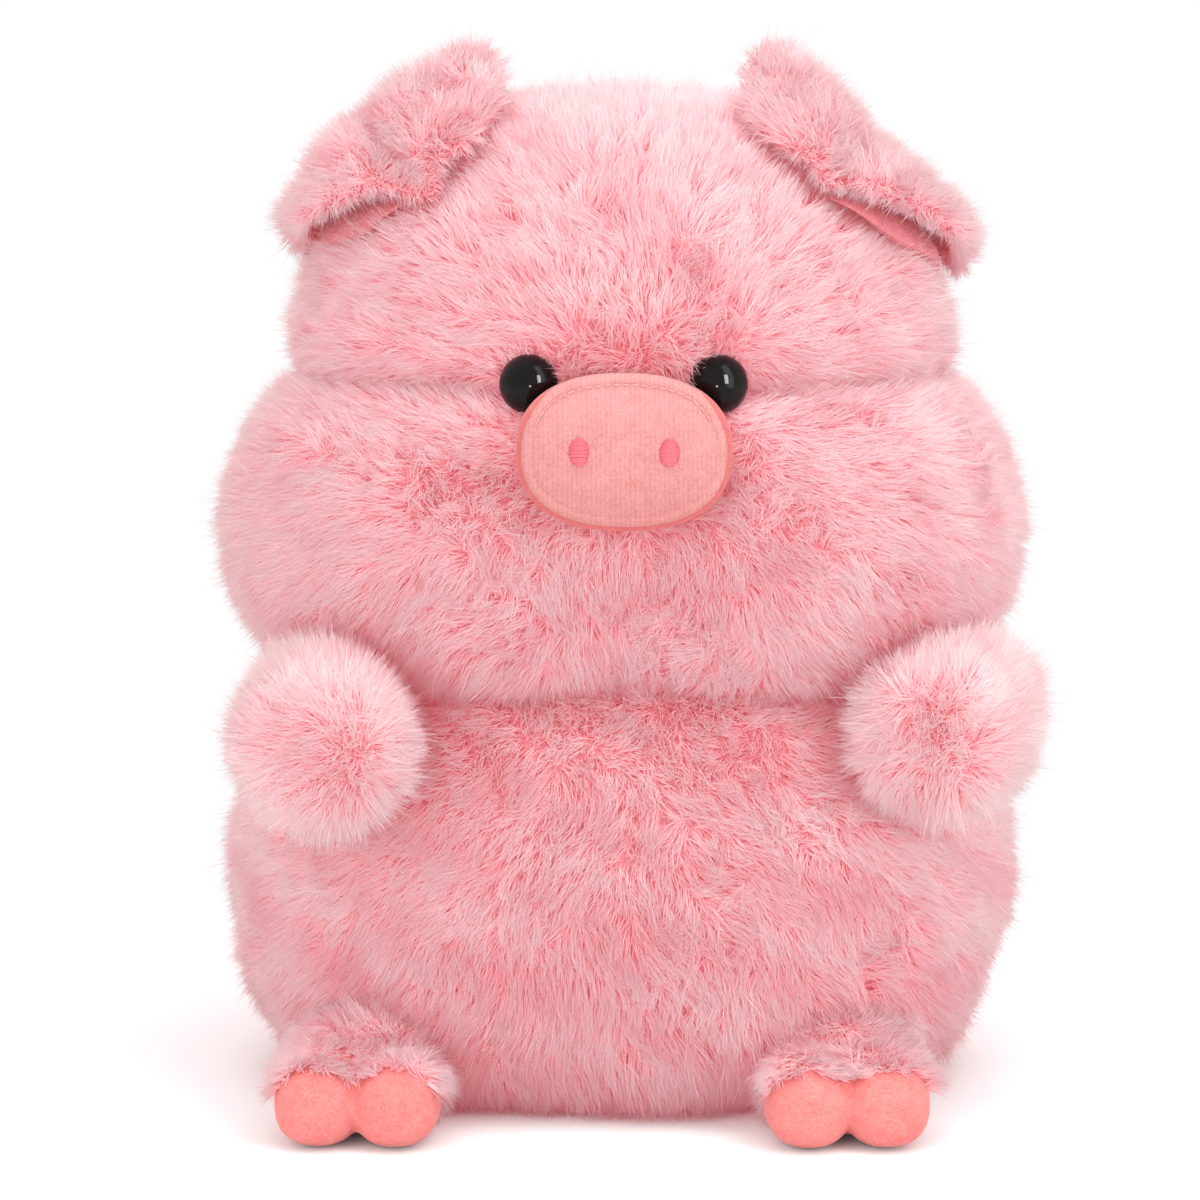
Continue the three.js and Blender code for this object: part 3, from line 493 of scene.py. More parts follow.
# %% A mesh of blades
def pile_mesh(name, corners, shade, pale):
    """A mesh object of blades: three-sided spikes, with soft normals and a UV map."""
    count = len(corners)
    blade_counts.append(count)
    mesh = bpy.data.meshes.new(name)
    mesh.vertices.add(count * 4)
    mesh.vertices.foreach_set("co", (corners * MM).astype(np.float32).ravel())
    order = np.array([0, 1, 3, 1, 2, 3, 2, 0, 3])
    loops = (np.arange(count)[:, None] * 4 + order).ravel()
    mesh.loops.add(len(loops))
    mesh.loops.foreach_set("vertex_index", loops.astype(np.int32))
    mesh.polygons.add(count * 3)
    mesh.polygons.foreach_set("loop_start", np.arange(0, count * 9, 3).astype(np.int32))
    mesh.update(calc_edges=True)
    along = np.where(order == 3, 0.98, 0.02)
    uv = np.stack([np.repeat(pale, 9), np.tile(along, count)], -1).astype(np.float32)
    for map_name in ("Blade", "OFBake"):
        mesh.uv_layers.new(name=map_name).data.foreach_set("uv", uv.ravel())
    mesh.polygons.foreach_set("use_smooth", np.ones(count * 3, bool))
    mesh.normals_split_custom_set_from_vertices(shade.reshape(-1, 3).astype(np.float32))
    return in_scene(name, mesh)


# %% [markdown]
# Under the blades lies the cloth itself, a smooth closed skin. It is darker than the tips,
# because light that gets down there has bounced off many pink fibres.


# %% Cloth under the pile
def mend(mesh):
    """Merges the doubles of a mesh and turns its faces outwards."""
    bm = bmesh.new()
    bm.from_mesh(mesh)
    bmesh.ops.remove_doubles(bm, verts=bm.verts, dist=1e-6)
    bmesh.ops.recalc_face_normals(bm, faces=bm.faces)
    bm.to_mesh(mesh)
    bm.free()


def skin_mesh(name, grid):
    """A closed mesh from a grid whose columns close up; both ends close on a point."""
    grid = grid[:, :-1]
    rows, sides = grid.shape[:2]
    ends = [grid[0].mean(0), grid[-1].mean(0)]
    points = np.concatenate([[ends[0]], grid.reshape(-1, 3), [ends[1]]]) * MM
    at = lambda r, s: 1 + r * sides + s % sides
    faces = [(0, at(0, s + 1), at(0, s)) for s in range(sides)]
    faces += [
        (at(r, s), at(r, s + 1), at(r + 1, s + 1), at(r + 1, s))
        for r in range(rows - 1)
        for s in range(sides)
    ]
    faces += [(at(rows - 1, s), at(rows - 1, s + 1), len(points) - 1) for s in range(sides)]
    mesh = bpy.data.meshes.new(name)
    mesh.from_pydata(points.tolist(), [], faces)
    mend(mesh)
    mesh.shade_smooth()
    return in_scene(name, mesh)


# %% [markdown]
# ## Finish of the pile
# The fibre is dyed polyester, brushed and a little silky. Each blade runs from a deep pink at
# its root to a pale pink at its tip; the deeper pink of the root is painted shade of the depths
# of the pile. It has no gloss of its own, because the made-up normals would turn it grey at a
# slant. Between real fibres light bounces dozens of times and comes out warm and pink; a faint
# painted glow stands for the bounces that a renderer leaves out.

# %% Pile and cloth materials
pile_finish, tree, out = new_material("brushed_polyester_pile")
blade_map = add(tree, "ShaderNodeUVMap", uv_map="Blade")
parts = add(tree, "ShaderNodeSeparateXYZ", {0: blade_map.outputs["UV"]})
tips = add(tree, "ShaderNodeValToRGB", {0: parts.outputs["X"]})
set_ramp(tips, [(0, "#efc2c8"), (0.35, "#f0d9dc"), (0.65, "#f2e8e9"), (1, "#f5f3f3")])
# Painted shade: the roots are a deeper pink, as the shade down in the pile makes them.
painted_root_shade = add(tree, "ShaderNodeValToRGB", {0: parts.outputs["X"]})
set_ramp(painted_root_shade, [(0, "#f4a4ae"), (1, "#fac4ca")])
up = add(tree, "ShaderNodeMath", {0: parts.outputs["Y"], 1: 0.7}, operation="POWER")
fibre = {"Factor": up.outputs[0], 6: painted_root_shade.outputs["Color"], 7: tips.outputs["Color"]}
fibre = add(tree, "ShaderNodeMix", fibre, data_type="RGBA")
fibre = {
    "Base Color": fibre.outputs[2],
    "Roughness": 0.9,
    "Specular IOR Level": 0,
    # Painted glow: a faint pink emission stands for light bounced between the fibres.
    "Emission Color": linear("#ff7682"),
    "Emission Strength": 0.18,
}
fibre = add(tree, "ShaderNodeBsdfPrincipled", fibre)
tree.links.new(fibre.outputs[0], out.inputs["Surface"])

cloth_finish = two_tone(
    "knitted_pile_backing",
    "ShaderNodeTexNoise",
    {"Scale": 1300, "Detail": 4},  # the loops of the knit, 0.8 mm apart
    [(0.36, "#e08691"), (0.64, "#f6b0b8")],
    {"Roughness": 0.95, "Specular IOR Level": 0.1},
)


# %% [markdown]
# ## Head and body
# The pile of each cover is brushed its own way: on the crown up and back from the brow, on the
# cheeks out and down from the snout, on the belly down and out from the chest. The brush
# never runs quite straight, so a wandering push is added, strongest on the belly, where the
# pile parts and its deep pink shows. Round the eyes and the snout it is clipped short.


# %% Pile round the face
EYE_BARE, EYE_CLIPPED = 4.5, 7  # no pile this near an eye's middle, and clipped pile beyond it
SNOUT_BARE, SNOUT_CLIPPED = 0.78, 0.4  # the same round the snout, as shares of its outline


def face_room(places):
    """How the pile makes room for the eyes and the snout: share of its length, and a push away."""
    x, y, z = places.T
    share, push = np.ones(len(places)), np.zeros_like(places)
    for sign in (1, -1):
        dx, dz = x - sign * eye["x"], z - eye["z"]
        far = np.hypot(dx, dz)
        near = (far < 20) & (y < -30)
        clipped = np.clip((far - EYE_BARE) / EYE_CLIPPED, 0, 1)
        share = np.where(near, np.minimum(share, clipped), share)
        pushing = near * np.exp(-np.maximum(far - 7, 0) / 3.5)
        push += np.stack([dx, 0 * dx, dz], -1) * (1.3 * pushing / np.maximum(far, 1))[:, None]
    dz = z - snout["middle_z"]
    far = oval_share(x, dz, snout["half_width"], snout["half_height"], snout["squareness"])
    near = (far < 1.8) & (y < -30)
    clipped = np.clip((far - SNOUT_BARE) / SNOUT_CLIPPED, 0, 1)
    share = np.where(near, np.minimum(share, clipped), share)
    pushing = near * np.exp(-np.maximum(far - 1, 0) / 0.25)
    pushing = pushing * np.where(dz > 8, 0.15, 0.7)
    push += unit(np.stack([x, 0 * x, dz], -1)) * pushing[:, None]
    return share, push


# %% Tufts and partings
LOCK_SPACING = 1.86
TUFT_SPACING = 4.8
WHORL_REACH = 16  # how far round a whorl the pile stands up loosely


def tufts(places, rng):
    """Locks cling together in tufts: each tuft's own push, and each lock's pull to its middle."""
    count = max(8, int(len(places) * (LOCK_SPACING / TUFT_SPACING) ** 2))
    middles = rng.choice(len(places), count, replace=False)
    tree = finder(places[middles])
    own = np.array([tree.find(place)[1] for place in places])
    push = rng.normal(0, 1, (count, 3))[own]
    return push, places[middles[own]] - places


def pile_of(places, normals, way, length, lift, rng, seed, tousle, whorl, pale=0, clump=1):
    """What the locks of some places need to grow: ways, lengths, lifts, tints and pulls.

    The pile is tousled by slow waves. Round its whorl, and in partings, where it would run
    straight out of the cloth, it stands up loosely. A clump of 1 is pile with bold tufts.
    """
    push, inwards = tufts(places, rng)
    loose = np.zeros(len(places))
    if whorl is not None:
        off = np.linalg.norm(places - np.array(whorl), axis=1)
        loose = hump(off, WHORL_REACH)
    way = way + (tousle + 1.2 * loose)[:, None] * waves(places, seed)
    parting = np.linalg.norm(np.cross(way, normals), axis=1)
    loose = np.maximum(loose, 0.6 * hump(parting, 0.45))
    way = way + 0.32 * clump * push
    way = way + (0.2 + 1.3 * loose)[:, None] * rng.normal(0, 1, way.shape)
    way = along_surface(way, normals)
    calm = waves(places, seed + 1, 10, 30)
    length = length * (1 + 0.14 * calm[:, 0])
    lift = lift + 9 * calm[:, 1] + 7 * clump * push[:, 0] + (68 - lift) * loose
    lift = np.radians(np.clip(lift, 15, 85))
    tint = 0.52 + pale + 0.16 * calm[:, 2] + 0.05 * push[:, 1] + rng.normal(0, 0.08, len(places))
    return dict(
        places=places, normals=normals, comb=way, length=length, lift=lift, tint=tint,
        pull=0.035 * inwards,
    )


# %% Pile of a cover
PILE_LENGTH = 6.6  # of a fibre, along itself
BEHIND = 10  # blades in a lock at the back, where the pile is a little thinner


def cover_pile(form, source, down, tousle, seed, others):
    """The locks of a cover's visible pile, brushed away from a source and down."""
    rng = np.random.default_rng(seed)
    places, normals, _, _ = scatter(form_grid(form, -PILE_DEPTH), LOCK_SPACING, rng)
    share, push = face_room(places)
    keep = (places[:, 2] > 1) & (share > 0.12)
    for other in others:
        keep &= how_deep(other, places, -PILE_DEPTH - 2) > 1
    places, normals, share, push = (v[keep] for v in (places, normals, share, push))
    away = unit(places - np.array(source)) + np.array([0, 0, -down])
    way = along_surface(along_surface(away, normals) + push, normals)
    whorl = (source[0], front_of(form, source[0], source[2]), source[2])
    length, lift = PILE_LENGTH * (0.35 + 0.65 * share), 52 - 24 * (1 - share)
    x, y, high = (places - [0, 0, snout["middle_z"] + 15]).T  # longer locks above the snout
    over = np.exp(-((x / 17) ** 2) - (high / 7) ** 2) * (high > 0) * (y < -30)
    length, lift = length * (1 + 0.8 * over), lift + 16 * over
    return pile_of(places, normals, way, length, lift, rng, seed, tousle, whorl), rng


def grow(name, locks, rng, body_name, here=None, per_lock=14):
    """The pile object of some locks, or of those of them that are here, on a body."""
    if here is not None:
        locks = {key: values[here] for key, values in locks.items()}
    piece = pile_mesh(name, *blades(rng=rng, per_lock=per_lock, **locks))
    settle(piece, pile_finish, body_name, "pink_fur")


# %% Covers of head and body
for form, name, node in (
    (crown, "crown_cloth", "crown_cover"),
    (cheeks, "cheek_cloth", "cheek_cover"),
    (body, "body_cloth", "body_cover"),
):
    cloth = skin_mesh(name, form_grid(form, -PILE_DEPTH, 60, 96))
    settle(cloth, cloth_finish, "torso", "pink_fur", node, 0.75)

# %% Pile of head and body
# Each cover's pile is grown in a few pieces, so that none of them gets too heavy.
locks, rng = cover_pile(crown, (3, -40, 172), 0.05, 0.6, 11, [cheeks])
front = locks["places"][:, 1] < 0
grow("crown_pile_front", locks, rng, "torso", front)
grow("crown_pile_back", locks, rng, "torso", ~front, BEHIND)
for form, others, source, down, tousle, seed, ahead, behind in (
    (cheeks, [crown], (0, -50, 168), 0.25, 0.7, 12, "cheek_pile", "cheek_pile_back"),
    (body, [cheeks], (0, -50, 128), 0.35, 0.85, 13, "belly_pile", "back_pile"),
):
    locks, rng = cover_pile(form, source, down, tousle, seed, others)
    left, front = locks["places"][:, 0] >= 0, locks["places"][:, 1] < 10
    grow(f"{ahead}_left", locks, rng, "torso", front & left)
    grow(f"{ahead}_right", locks, rng, "torso", front & ~left)
    grow(f"{behind}_left", locks, rng, "torso", ~front & left, BEHIND)
    grow(f"{behind}_right", locks, rng, "torso", ~front & ~left, BEHIND)

# %% [markdown]
# ## Arms and legs
# Each limb is a short stuffed stub: a profile turned about its axis, a little flattened on the
# legs, and sewn on with its round end let into the body. The pile is brushed away from the tip
# of an arm, and forwards and down over the hoof of a leg.

# %% Stubs for the limbs
ARM_ROWS = [
    (0, 0), (0.5, 0.03), (0.8, 0.13), (0.94, 0.29), (1, 0.5), (1, 0.66), (0.93, 0.82),
    (0.76, 0.93), (0.45, 0.985), (0, 1),
]
LEG_ROWS = [
    (0, 0), (0.55, 0.02), (0.86, 0.1), (0.97, 0.25), (1, 0.5), (0.99, 0.72), (0.9, 0.87),
    (0.65, 0.965), (0, 1),
]
TOE_ROWS = [
    (0, 0), (0.8, 0.04), (1, 0.25), (1, 0.62), (0.92, 0.81), (0.74, 0.92), (0.42, 0.985), (0, 1),
]


# %% Turning and placing
def stub_grid(rows, radius, length, grow, steps, sides):
    """A turned stub whose axis runs forwards, along -Y, from the origin."""
    table = between(rows, np.linspace(0, len(rows) - 1, steps))
    r = (table[:, 0] * (radius + grow))[:, None]
    h = (table[:, 1] * (length + 2 * grow) - grow)[:, None]
    angle = once_round(sides)[None, :]
    return np.stack(np.broadcast_arrays(r * np.cos(angle), -h, r * np.sin(angle)), -1)


def product(*steps):
    """One matrix for several steps, of which the last comes first."""
    whole = Matrix.Identity(4)
    for step in steps:
        whole = whole @ step
    return whole


def placed(grid, *steps):
    """Grid points moved by the product of some matrices."""
    whole = np.array(product(*steps))
    return grid @ whole[:3, :3].T + whole[:3, 3]


def shift(x, y, z):
    """The matrix of a move."""
    return Matrix.Translation((x, y, z))


def turn(degrees, axis):
    """The matrix of a turn about an axis through the origin."""
    return Matrix.Rotation(math.radians(degrees), 4, axis)


# %% Where the limbs are sewn on
arms = dict(
    right=dict(pivot=(-69.5, -42, 95.5), aside=-1, down=3, side=-1),
    left=dict(pivot=(83, -33, 99), aside=-17, down=8, side=1),
)
legs = dict(
    right=dict(pivot=(-59, -19, 12), toe_out=-3, side=-1),
    left=dict(pivot=(50, -20, 12), toe_out=2, side=1),
)


def arm_grid(arm, grow, steps, sides):
    """An arm's stub in its place."""
    stub = stub_grid(ARM_ROWS, 22.4, 62, grow, steps, sides)
    return placed(
        stub, shift(*arm["pivot"]), turn(arm["aside"], "Z"), turn(arm["down"], "X"),
        shift(0, 11.2, 0),
    )


def leg_grid(leg, grow, steps, sides):
    """A leg's stub in its place."""
    stub = stub_grid(LEG_ROWS, 23.8, 56, grow, steps, sides) * np.array([1, 1, 0.74])
    return placed(stub, shift(*leg["pivot"]), turn(leg["toe_out"], "Z"))


def in_leg(places, leg):
    """Places as a leg sees them: from its hip, with its toes towards -Y."""
    return placed(places, turn(-leg["toe_out"], "Z"), shift(*(-np.array(leg["pivot"]))))


def bare_at(places, pivot, degrees, forms):
    """Whether places are outside the forms at some angle of their limb's swing."""
    bare = np.zeros(len(places), bool)
    for share in (0, 0.5, 1):
        spun = placed(places, shift(*pivot), turn(degrees * share, "Z"), shift(*(-np.array(pivot))))
        outside = np.ones(len(places), bool)
        for form in forms:
            outside &= how_deep(form, spun, -PILE_DEPTH - 1) > 1
        bare |= outside
    return bare


# %% Arms and legs
LIMB_PILE_LENGTH = 7
CLOSE_SPACING = LOCK_SPACING * 0.85  # on limbs and ears, whose curves are tighter


def above_floor(piece, clear=FLOOR_CLEAR):
    """Lifts the points of a piece that lie lower than just clear of the floor."""
    for v in piece.data.vertices:
        v.co.z = max(v.co.z, clear * MM)


def limb(kind, name, spec, grid, whorl, flow, travel, seed, lift=50, pale=0.25):
    """The cloth and the pile of one limb."""
    cloth = skin_mesh(f"{kind}_cloth_{name}", grid(spec, -PILE_DEPTH, 40, 56))
    above_floor(cloth)
    settle(cloth, cloth_finish, f"{kind}_{name}", "pink_fur", f"{kind}_cover_{name}", 0.7)
    rng = np.random.default_rng(seed)
    places, normals, _, _ = scatter(grid(spec, -PILE_DEPTH, 120, 160), CLOSE_SPACING, rng)
    keep = bare_at(places, spec["pivot"], travel * spec["side"], [body, cheeks])
    if kind == "leg":
        keep &= places[:, 2] > 1
        ahead = in_leg(places, spec)  # no pile where the hoof is sewn on
        keep &= ~((ahead[:, 1] < -40) & (np.abs(ahead[:, 0]) < 14.5) & (places[:, 2] < 14))
    places, normals = places[keep], normals[keep]
    away = unit(places - np.array(whorl)) + np.array(flow)
    way = along_surface(away, normals)
    shorter_aside = 0.35 * np.abs(normals[:, 0]) if kind == "leg" else 0 * normals[:, 0]
    long = LIMB_PILE_LENGTH * (1 - shorter_aside)
    locks = pile_of(places, normals, way, long, lift, rng, seed, 0.3, whorl, pale, 0.25)
    grow(f"{kind}_pile_{name}", locks, rng, f"{kind}_{name}", per_lock=13)


limb("arm", "right", arms["right"], arm_grid, (-54, -92, 93), (0, 0.4, 0), 35, 21)
limb("arm", "left", arms["left"], arm_grid, (65, -80, 90), (0, 0.35, 0), 35, 22)
down_ahead = (0, -0.9, -0.15)
limb("leg", "right", legs["right"], leg_grid, (-59, 14, 30), down_ahead, 15, 23, 44, 0.15)
limb("leg", "left", legs["left"], leg_grid, (53, 14, 30), down_ahead, 15, 24, 44, 0.15)

# %% [markdown]
# ## Ears
# An ear is a leaf of the fur cloth, lined with velour on the side that faces the head. It is
# sewn along a slope on the crown, arches up and forwards and droops at its free edge. A pinched
# fold crosses its middle, where the flap was pressed in its box. The formula of the frame
# gives each point of the leaf, only with a longer or shorter lower tip, and the section
# across it is closed like a flat tube.

# %% The leaf of an ear
EAR_REACH = [[0], [0.62], [0.83], [0.94], [0.99], [1], [0.97], [0.9], [0.78], [0.58], [0]]
EAR_SEAM = np.array([54.5, 10, 226])
EAR_SLOPE = math.radians(46)
EAR_ALONG = np.array([math.cos(EAR_SLOPE), 0, -math.sin(EAR_SLOPE)])
EAR_OUTWARD = np.array([math.sin(EAR_SLOPE), 0, math.cos(EAR_SLOPE)])
EAR_LENGTH, EAR_WIDTH = 78, 58
EAR_DEPTH = 4.5  # of the pile on the ears, which is clipped a little shorter


def ear_point(u, v, thickness, hem, fold_depth, plump, tail):
    """Points of the left ear's leaf: u runs along the seam, v from the seam to the free edge."""
    width = between(EAR_REACH, u * 10)[..., 0]
    thickness = thickness + plump * hump(u, 0.26, 0.52) * np.sin(np.pi * v)
    fold = fold_depth * v * hump((u - 0.47) * EAR_LENGTH, 5)
    arch = 7 * (1 - 0.35 * u) * np.sin(np.pi * v**0.85)
    droop = 21 * (1 - 1.45 * u) * v**2
    along = (u - 0.5) * (EAR_LENGTH - 2 * hem) + tail * np.maximum(2 * u - 1, 0) ** 2
    ahead = v * (EAR_WIDTH - hem) * width
    out = (arch - droop - 3 * (1 - v) ** 2 - fold) * width + thickness
    steps = ((along, EAR_ALONG), (ahead, np.array([0, -1, 0])), (out, EAR_OUTWARD))
    return sum((far[..., None] * way for far, way in steps), EAR_SEAM)


def ear_grid(
    outer, inner, hem, steps, sides, tail, fold_depth=0, plump=0, u_from=0, u_to=1, sag=0,
    blunt=1 / 3,
):
    """The ear's leaf as a closed tube: rows along the seam, columns round the section."""
    u = (1 - np.cos(np.linspace(0, np.pi, steps)))[:, None] / 2
    angle = once_round(sides)[None, :]
    v = (1 - np.cos(angle)) / 2
    swell = (np.sin(np.pi * u) * np.sin(np.pi * v)).clip(0, 1) ** blunt
    u = u_from + (u_to - u_from) * u
    inner = inner - sag * hump(u, 0.12, 0.76)
    thickness = (outer + inner) / 2 + np.sign(np.sin(angle)) * (outer - inner) / 2 * swell
    u, v = np.broadcast_arrays(u, v)
    return ear_point(u, v, thickness, hem, fold_depth, plump, tail)


# %% Ears
EAR_TAIL = {1: 4, -1: -4}  # the one ear's lower tip hangs lower than the other's
EAR_THICK = 12
ROOT_ROWS, ROOT_COLUMNS = 150, 200  # of the grid on which the roots are scattered
for name, side, plump, fold in (("left", 1, -2.5, 3.5), ("right", -1, 4, 8)):
    mirror = np.array([side, 1, 1])
    leaf = (EAR_THICK - EAR_DEPTH, 1, EAR_DEPTH)
    bent = (EAR_TAIL[side], fold, plump)
    cloth = skin_mesh(f"ear_cloth_{name}", ear_grid(*leaf, 60, 72, *bent) * mirror)
    settle(cloth, cloth_finish, f"ear_{name}", "pink_fur", f"ear_back_{name}", 0.4)
    rng = np.random.default_rng(30 + side)
    grid = ear_grid(*leaf, ROOT_ROWS, ROOT_COLUMNS, *bent) * mirror
    places, normals, row, column = scatter(grid, CLOSE_SPACING, rng)
    u, turned = (1 - np.cos(np.pi * row / (ROOT_ROWS - 1))) / 2, column / ROOT_COLUMNS
    v, under = (1 - np.cos(2 * np.pi * turned)) / 2, turned > 0.5
    # No pile grows under the lining, nor where the ear lies on the crown.
    lined = under & (u > 0.48) & (u < 0.93) & (v < 0.92)
    keep = ~lined & ~(under & (v < 0.25) & (v > 0.03))
    places, normals, u, v, under = (w[keep] for w in (places, normals, u, v, under))
    seam = (EAR_SEAM + np.array([-6, 16, 8])) * mirror
    edge, root = np.clip((v - 0.8) / 0.2, 0, 1)[:, None], np.clip(1 - v / 0.1, 0, 1)[:, None]
    flow = unit(places - seam) - 0.7 * edge * EAR_OUTWARD * mirror + root * np.array([0, 2.2, -0.6])
    way = along_surface(flow, normals)
    long = np.where(under, 4.6, 6.6 - 1.4 * edge[:, 0] * (u > 0.5))
    lift = np.where(under, 32, 50) - 18 * root[:, 0] + 12 * edge[:, 0]
    locks = pile_of(places, normals, way, long, lift, rng, 40 + side, 0.5, None, 0.06, 0.7)
    grow(f"ear_pile_{name}", locks, rng, f"ear_{name}")

# %% [markdown]
# ## Velour
# The snout, the hooves, the ear linings and the tail are of short-pile velour: a knitted back
# with 1 mm of dense pile. Seen close up it has a fine grain, and where it is stretched the
# rows of the knit show through as faint upright lines a millimetre apart. It looks paler at
# a slant, because the tips of the pile catch the light.

# %% Velour materials
def velour(name, pale, deep, wale_pitch=None, grain=0.55, rise=0, middle=0):
    """Short-pile velour in two tones, with its grain in millimetres.

    With a pitch of the knit it is stretched velour: its rows and columns show, and it is paler
    by a rise per metre of height over its middle: painted light from above, darker below.
    """
    material, tree, out = new_material(name)
    where = add(tree, "ShaderNodeTexCoord").outputs["Object"]
    height = 0
    for scale, detail, weight in ((1000 / grain, 2, 0.55), (330, 3, 0.3), (70, 2, 0.15)):
        grain_noise = {"Vector": where, "Scale": scale, "Detail": detail}
        grain_noise = add(tree, "ShaderNodeTexNoise", grain_noise).outputs[0]
        height = {0: grain_noise, 1: weight, 2: height}
        height = add(tree, "ShaderNodeMath", height, operation="MULTIPLY_ADD").outputs[0]
    shade = height
    if wale_pitch:
        place = add(tree, "ShaderNodeSeparateXYZ", {0: where})
        # The broadest noise bends the columns of loops a little, and beads run along them.
        wander = {0: grain_noise, 1: 0.0012, 2: place.outputs["X"]}
        wander = add(tree, "ShaderNodeMath", wander, operation="MULTIPLY_ADD").outputs[0]
        knit = []
        for at, pitch in ((wander, wale_pitch), (place.outputs["Z"], 0.8 * wale_pitch)):
            phase = {0: at, 1: math.tau / (pitch * MM)}
            phase = add(tree, "ShaderNodeMath", phase, operation="MULTIPLY")
            wave = add(tree, "ShaderNodeMath", {0: phase.outputs[0]}, operation="SINE")
            knit.append(wave.outputs[0])
        beads = {0: knit[1], 1: 0.5, 2: 0.7}
        beads = add(tree, "ShaderNodeMath", beads, operation="MULTIPLY_ADD").outputs[0]
        wales = add(tree, "ShaderNodeMath", {0: knit[0], 1: beads}, operation="MULTIPLY")
        height = {0: wales.outputs[0], 1: 0.065, 2: height}
        height = add(tree, "ShaderNodeMath", height, operation="MULTIPLY_ADD").outputs[0]
        # Painted shade: the tone grows paler with height, as light from above makes it, and darker
        # towards the bottom.
        over = {0: place.outputs["Z"], 1: rise, 2: -rise * middle * MM}
        over = add(tree, "ShaderNodeMath", over, operation="MULTIPLY_ADD")
        shade = add(tree, "ShaderNodeMath", {0: height, 1: over.outputs[0]}).outputs[0]
    tone = add(tree, "ShaderNodeValToRGB", {0: shade})
    set_ramp(tone, [(0.34, deep), (0.66, pale)])
    bump = add(tree, "ShaderNodeBump", {"Height": height, "Strength": 0.5, "Distance": 0.0006})
    looks = {
        "Base Color": tone.outputs["Color"],
        "Roughness": 0.85,
        "Specular IOR Level": 0.2,
        "Sheen Weight": 0.35,
        "Sheen Roughness": 0.4,
        "Sheen Tint": linear("#ffd9d6"),
        "Normal": bump.outputs["Normal"],
    }
    shader = add(tree, "ShaderNodeBsdfPrincipled", looks)
    tree.links.new(shader.outputs[0], out.inputs["Surface"])
    return material


# The snout's face is painted paler at its top and darker at its bottom, as light from above falls
# on it.
snout_velour = velour("coral_velour_stretched", "#da9b98", "#ca7f7d", 1.1, rise=4, middle=163)
band_velour = velour("coral_velour_band", "#da7775", "#c86262")
hoof_velour = velour("coral_velour_hoof", "#f49d98", "#e67673")
lining_velour = velour("coral_velour_lining", "#e08b90", "#cc7078")


# %% Pieces made of several parts
def detail_mesh(name, parts, *settled):
    """One mesh of several grids, each closed round its columns, settled in its place."""
    made = [skin_mesh(f"{name}_{k}", grid) for k, grid in enumerate(parts)]
    bpy.ops.object.select_all(action="DESELECT")
    for piece in made:
        piece.select_set(True)
    bpy.context.view_layer.objects.active = made[0]
    if len(made) > 1:
        bpy.ops.object.join()
    piece = made[0]
    piece.name = piece.data.name = name
    return settle(piece, *settled)


# %% Ear linings
for name, side in SIDES:
    half = dict(u_from=0.5, u_to=0.985, sag=5 - side, blunt=0.5)
    leaf = ear_grid(-0.35, -6, 4.2, 60, 80, EAR_TAIL[side], **half) * np.array([side, 1, 1])
    settled = (lining_velour, f"ear_{name}", "coral_velour", f"ear_lining_{name}", 0.4)
    detail_mesh(f"ear_velour_{name}", [leaf], *settled)

# %% [markdown]
# ## Hooves
# Each hoof is one velour cushion with two toes and a deep cleft. It starts as three turned
# forms, which a voxel remesh melts into one skin. Then the cloth solver blows it up a little,
# which draws the cleft taut and rounds the toes the way real stuffing does. The solver may
# move a point by no more than 0.7 mm, so the hoof keeps its size.


# %% Remesh, smoothing and air pressure
def select_only(piece):
    """Selects one piece and nothing else."""
    bpy.ops.object.select_all(action="DESELECT")
    piece.select_set(True)
    bpy.context.view_layer.objects.active = piece


def remeshed(piece, voxel):
    """One skin round a piece's parts, made of even voxels."""
    select_only(piece)
    step = piece.modifiers.new("melt", "REMESH")
    step.mode, step.voxel_size = "VOXEL", voxel * MM
    bpy.ops.object.modifier_apply(modifier=step.name)


def relaxed(piece, rounds):
    """A piece whose points drew halfway to their neighbours' middle, some rounds over."""
    select_only(piece)
    step = piece.modifiers.new("relax", "SMOOTH")
    step.iterations, step.factor = rounds, 0.5
    bpy.ops.object.modifier_apply(modifier=step.name)


def inflated(piece, cap, frames=20, pressure=4):
    """The piece after a short cloth simulation with air inside; no point moves past the cap."""
    start = np.array([v.co[:] for v in piece.data.vertices])
    select_only(piece)
    step = piece.modifiers.new("cloth", "CLOTH")
    cloth = step.settings
    cloth.use_pressure, cloth.uniform_pressure_force = True, pressure
    cloth.effector_weights.gravity = 0
    cloth.quality = 5
    step.point_cache.frame_start, step.point_cache.frame_end = 1, frames
    for frame_number in range(1, frames + 1):
        bpy.context.scene.frame_set(frame_number)
    graph = bpy.context.evaluated_depsgraph_get()
    ready = piece.evaluated_get(graph).to_mesh()
    blown = np.array([v.co[:] for v in ready.vertices])
    piece.evaluated_get(graph).to_mesh_clear()
    piece.modifiers.remove(step)
    bpy.context.scene.frame_set(1)
    move = blown - start
    far = np.linalg.norm(move, axis=1, keepdims=True)
    move *= np.minimum(1, cap * MM / np.maximum(far, 1e-9))
    for v, place in zip(piece.data.vertices, start + move):
        v.co = place
    print(piece.name, "blown up, mm at most:", round(float(far.max()) * 1000, 2))


# %% Shape of a hoof
TOE_SQUARENESS = 2.35


def squared(grid):
    """A turned form whose round section is made a little square, so that it fills its corners."""
    x, y, z = np.moveaxis(grid, -1, 0)
    angle = np.arctan2(z, x)
    share = np.abs(np.cos(angle)) ** TOE_SQUARENESS + np.abs(np.sin(angle)) ** TOE_SQUARENESS
    out = share ** (-1 / TOE_SQUARENESS)
    return np.stack([x * out, y, z * out], -1)


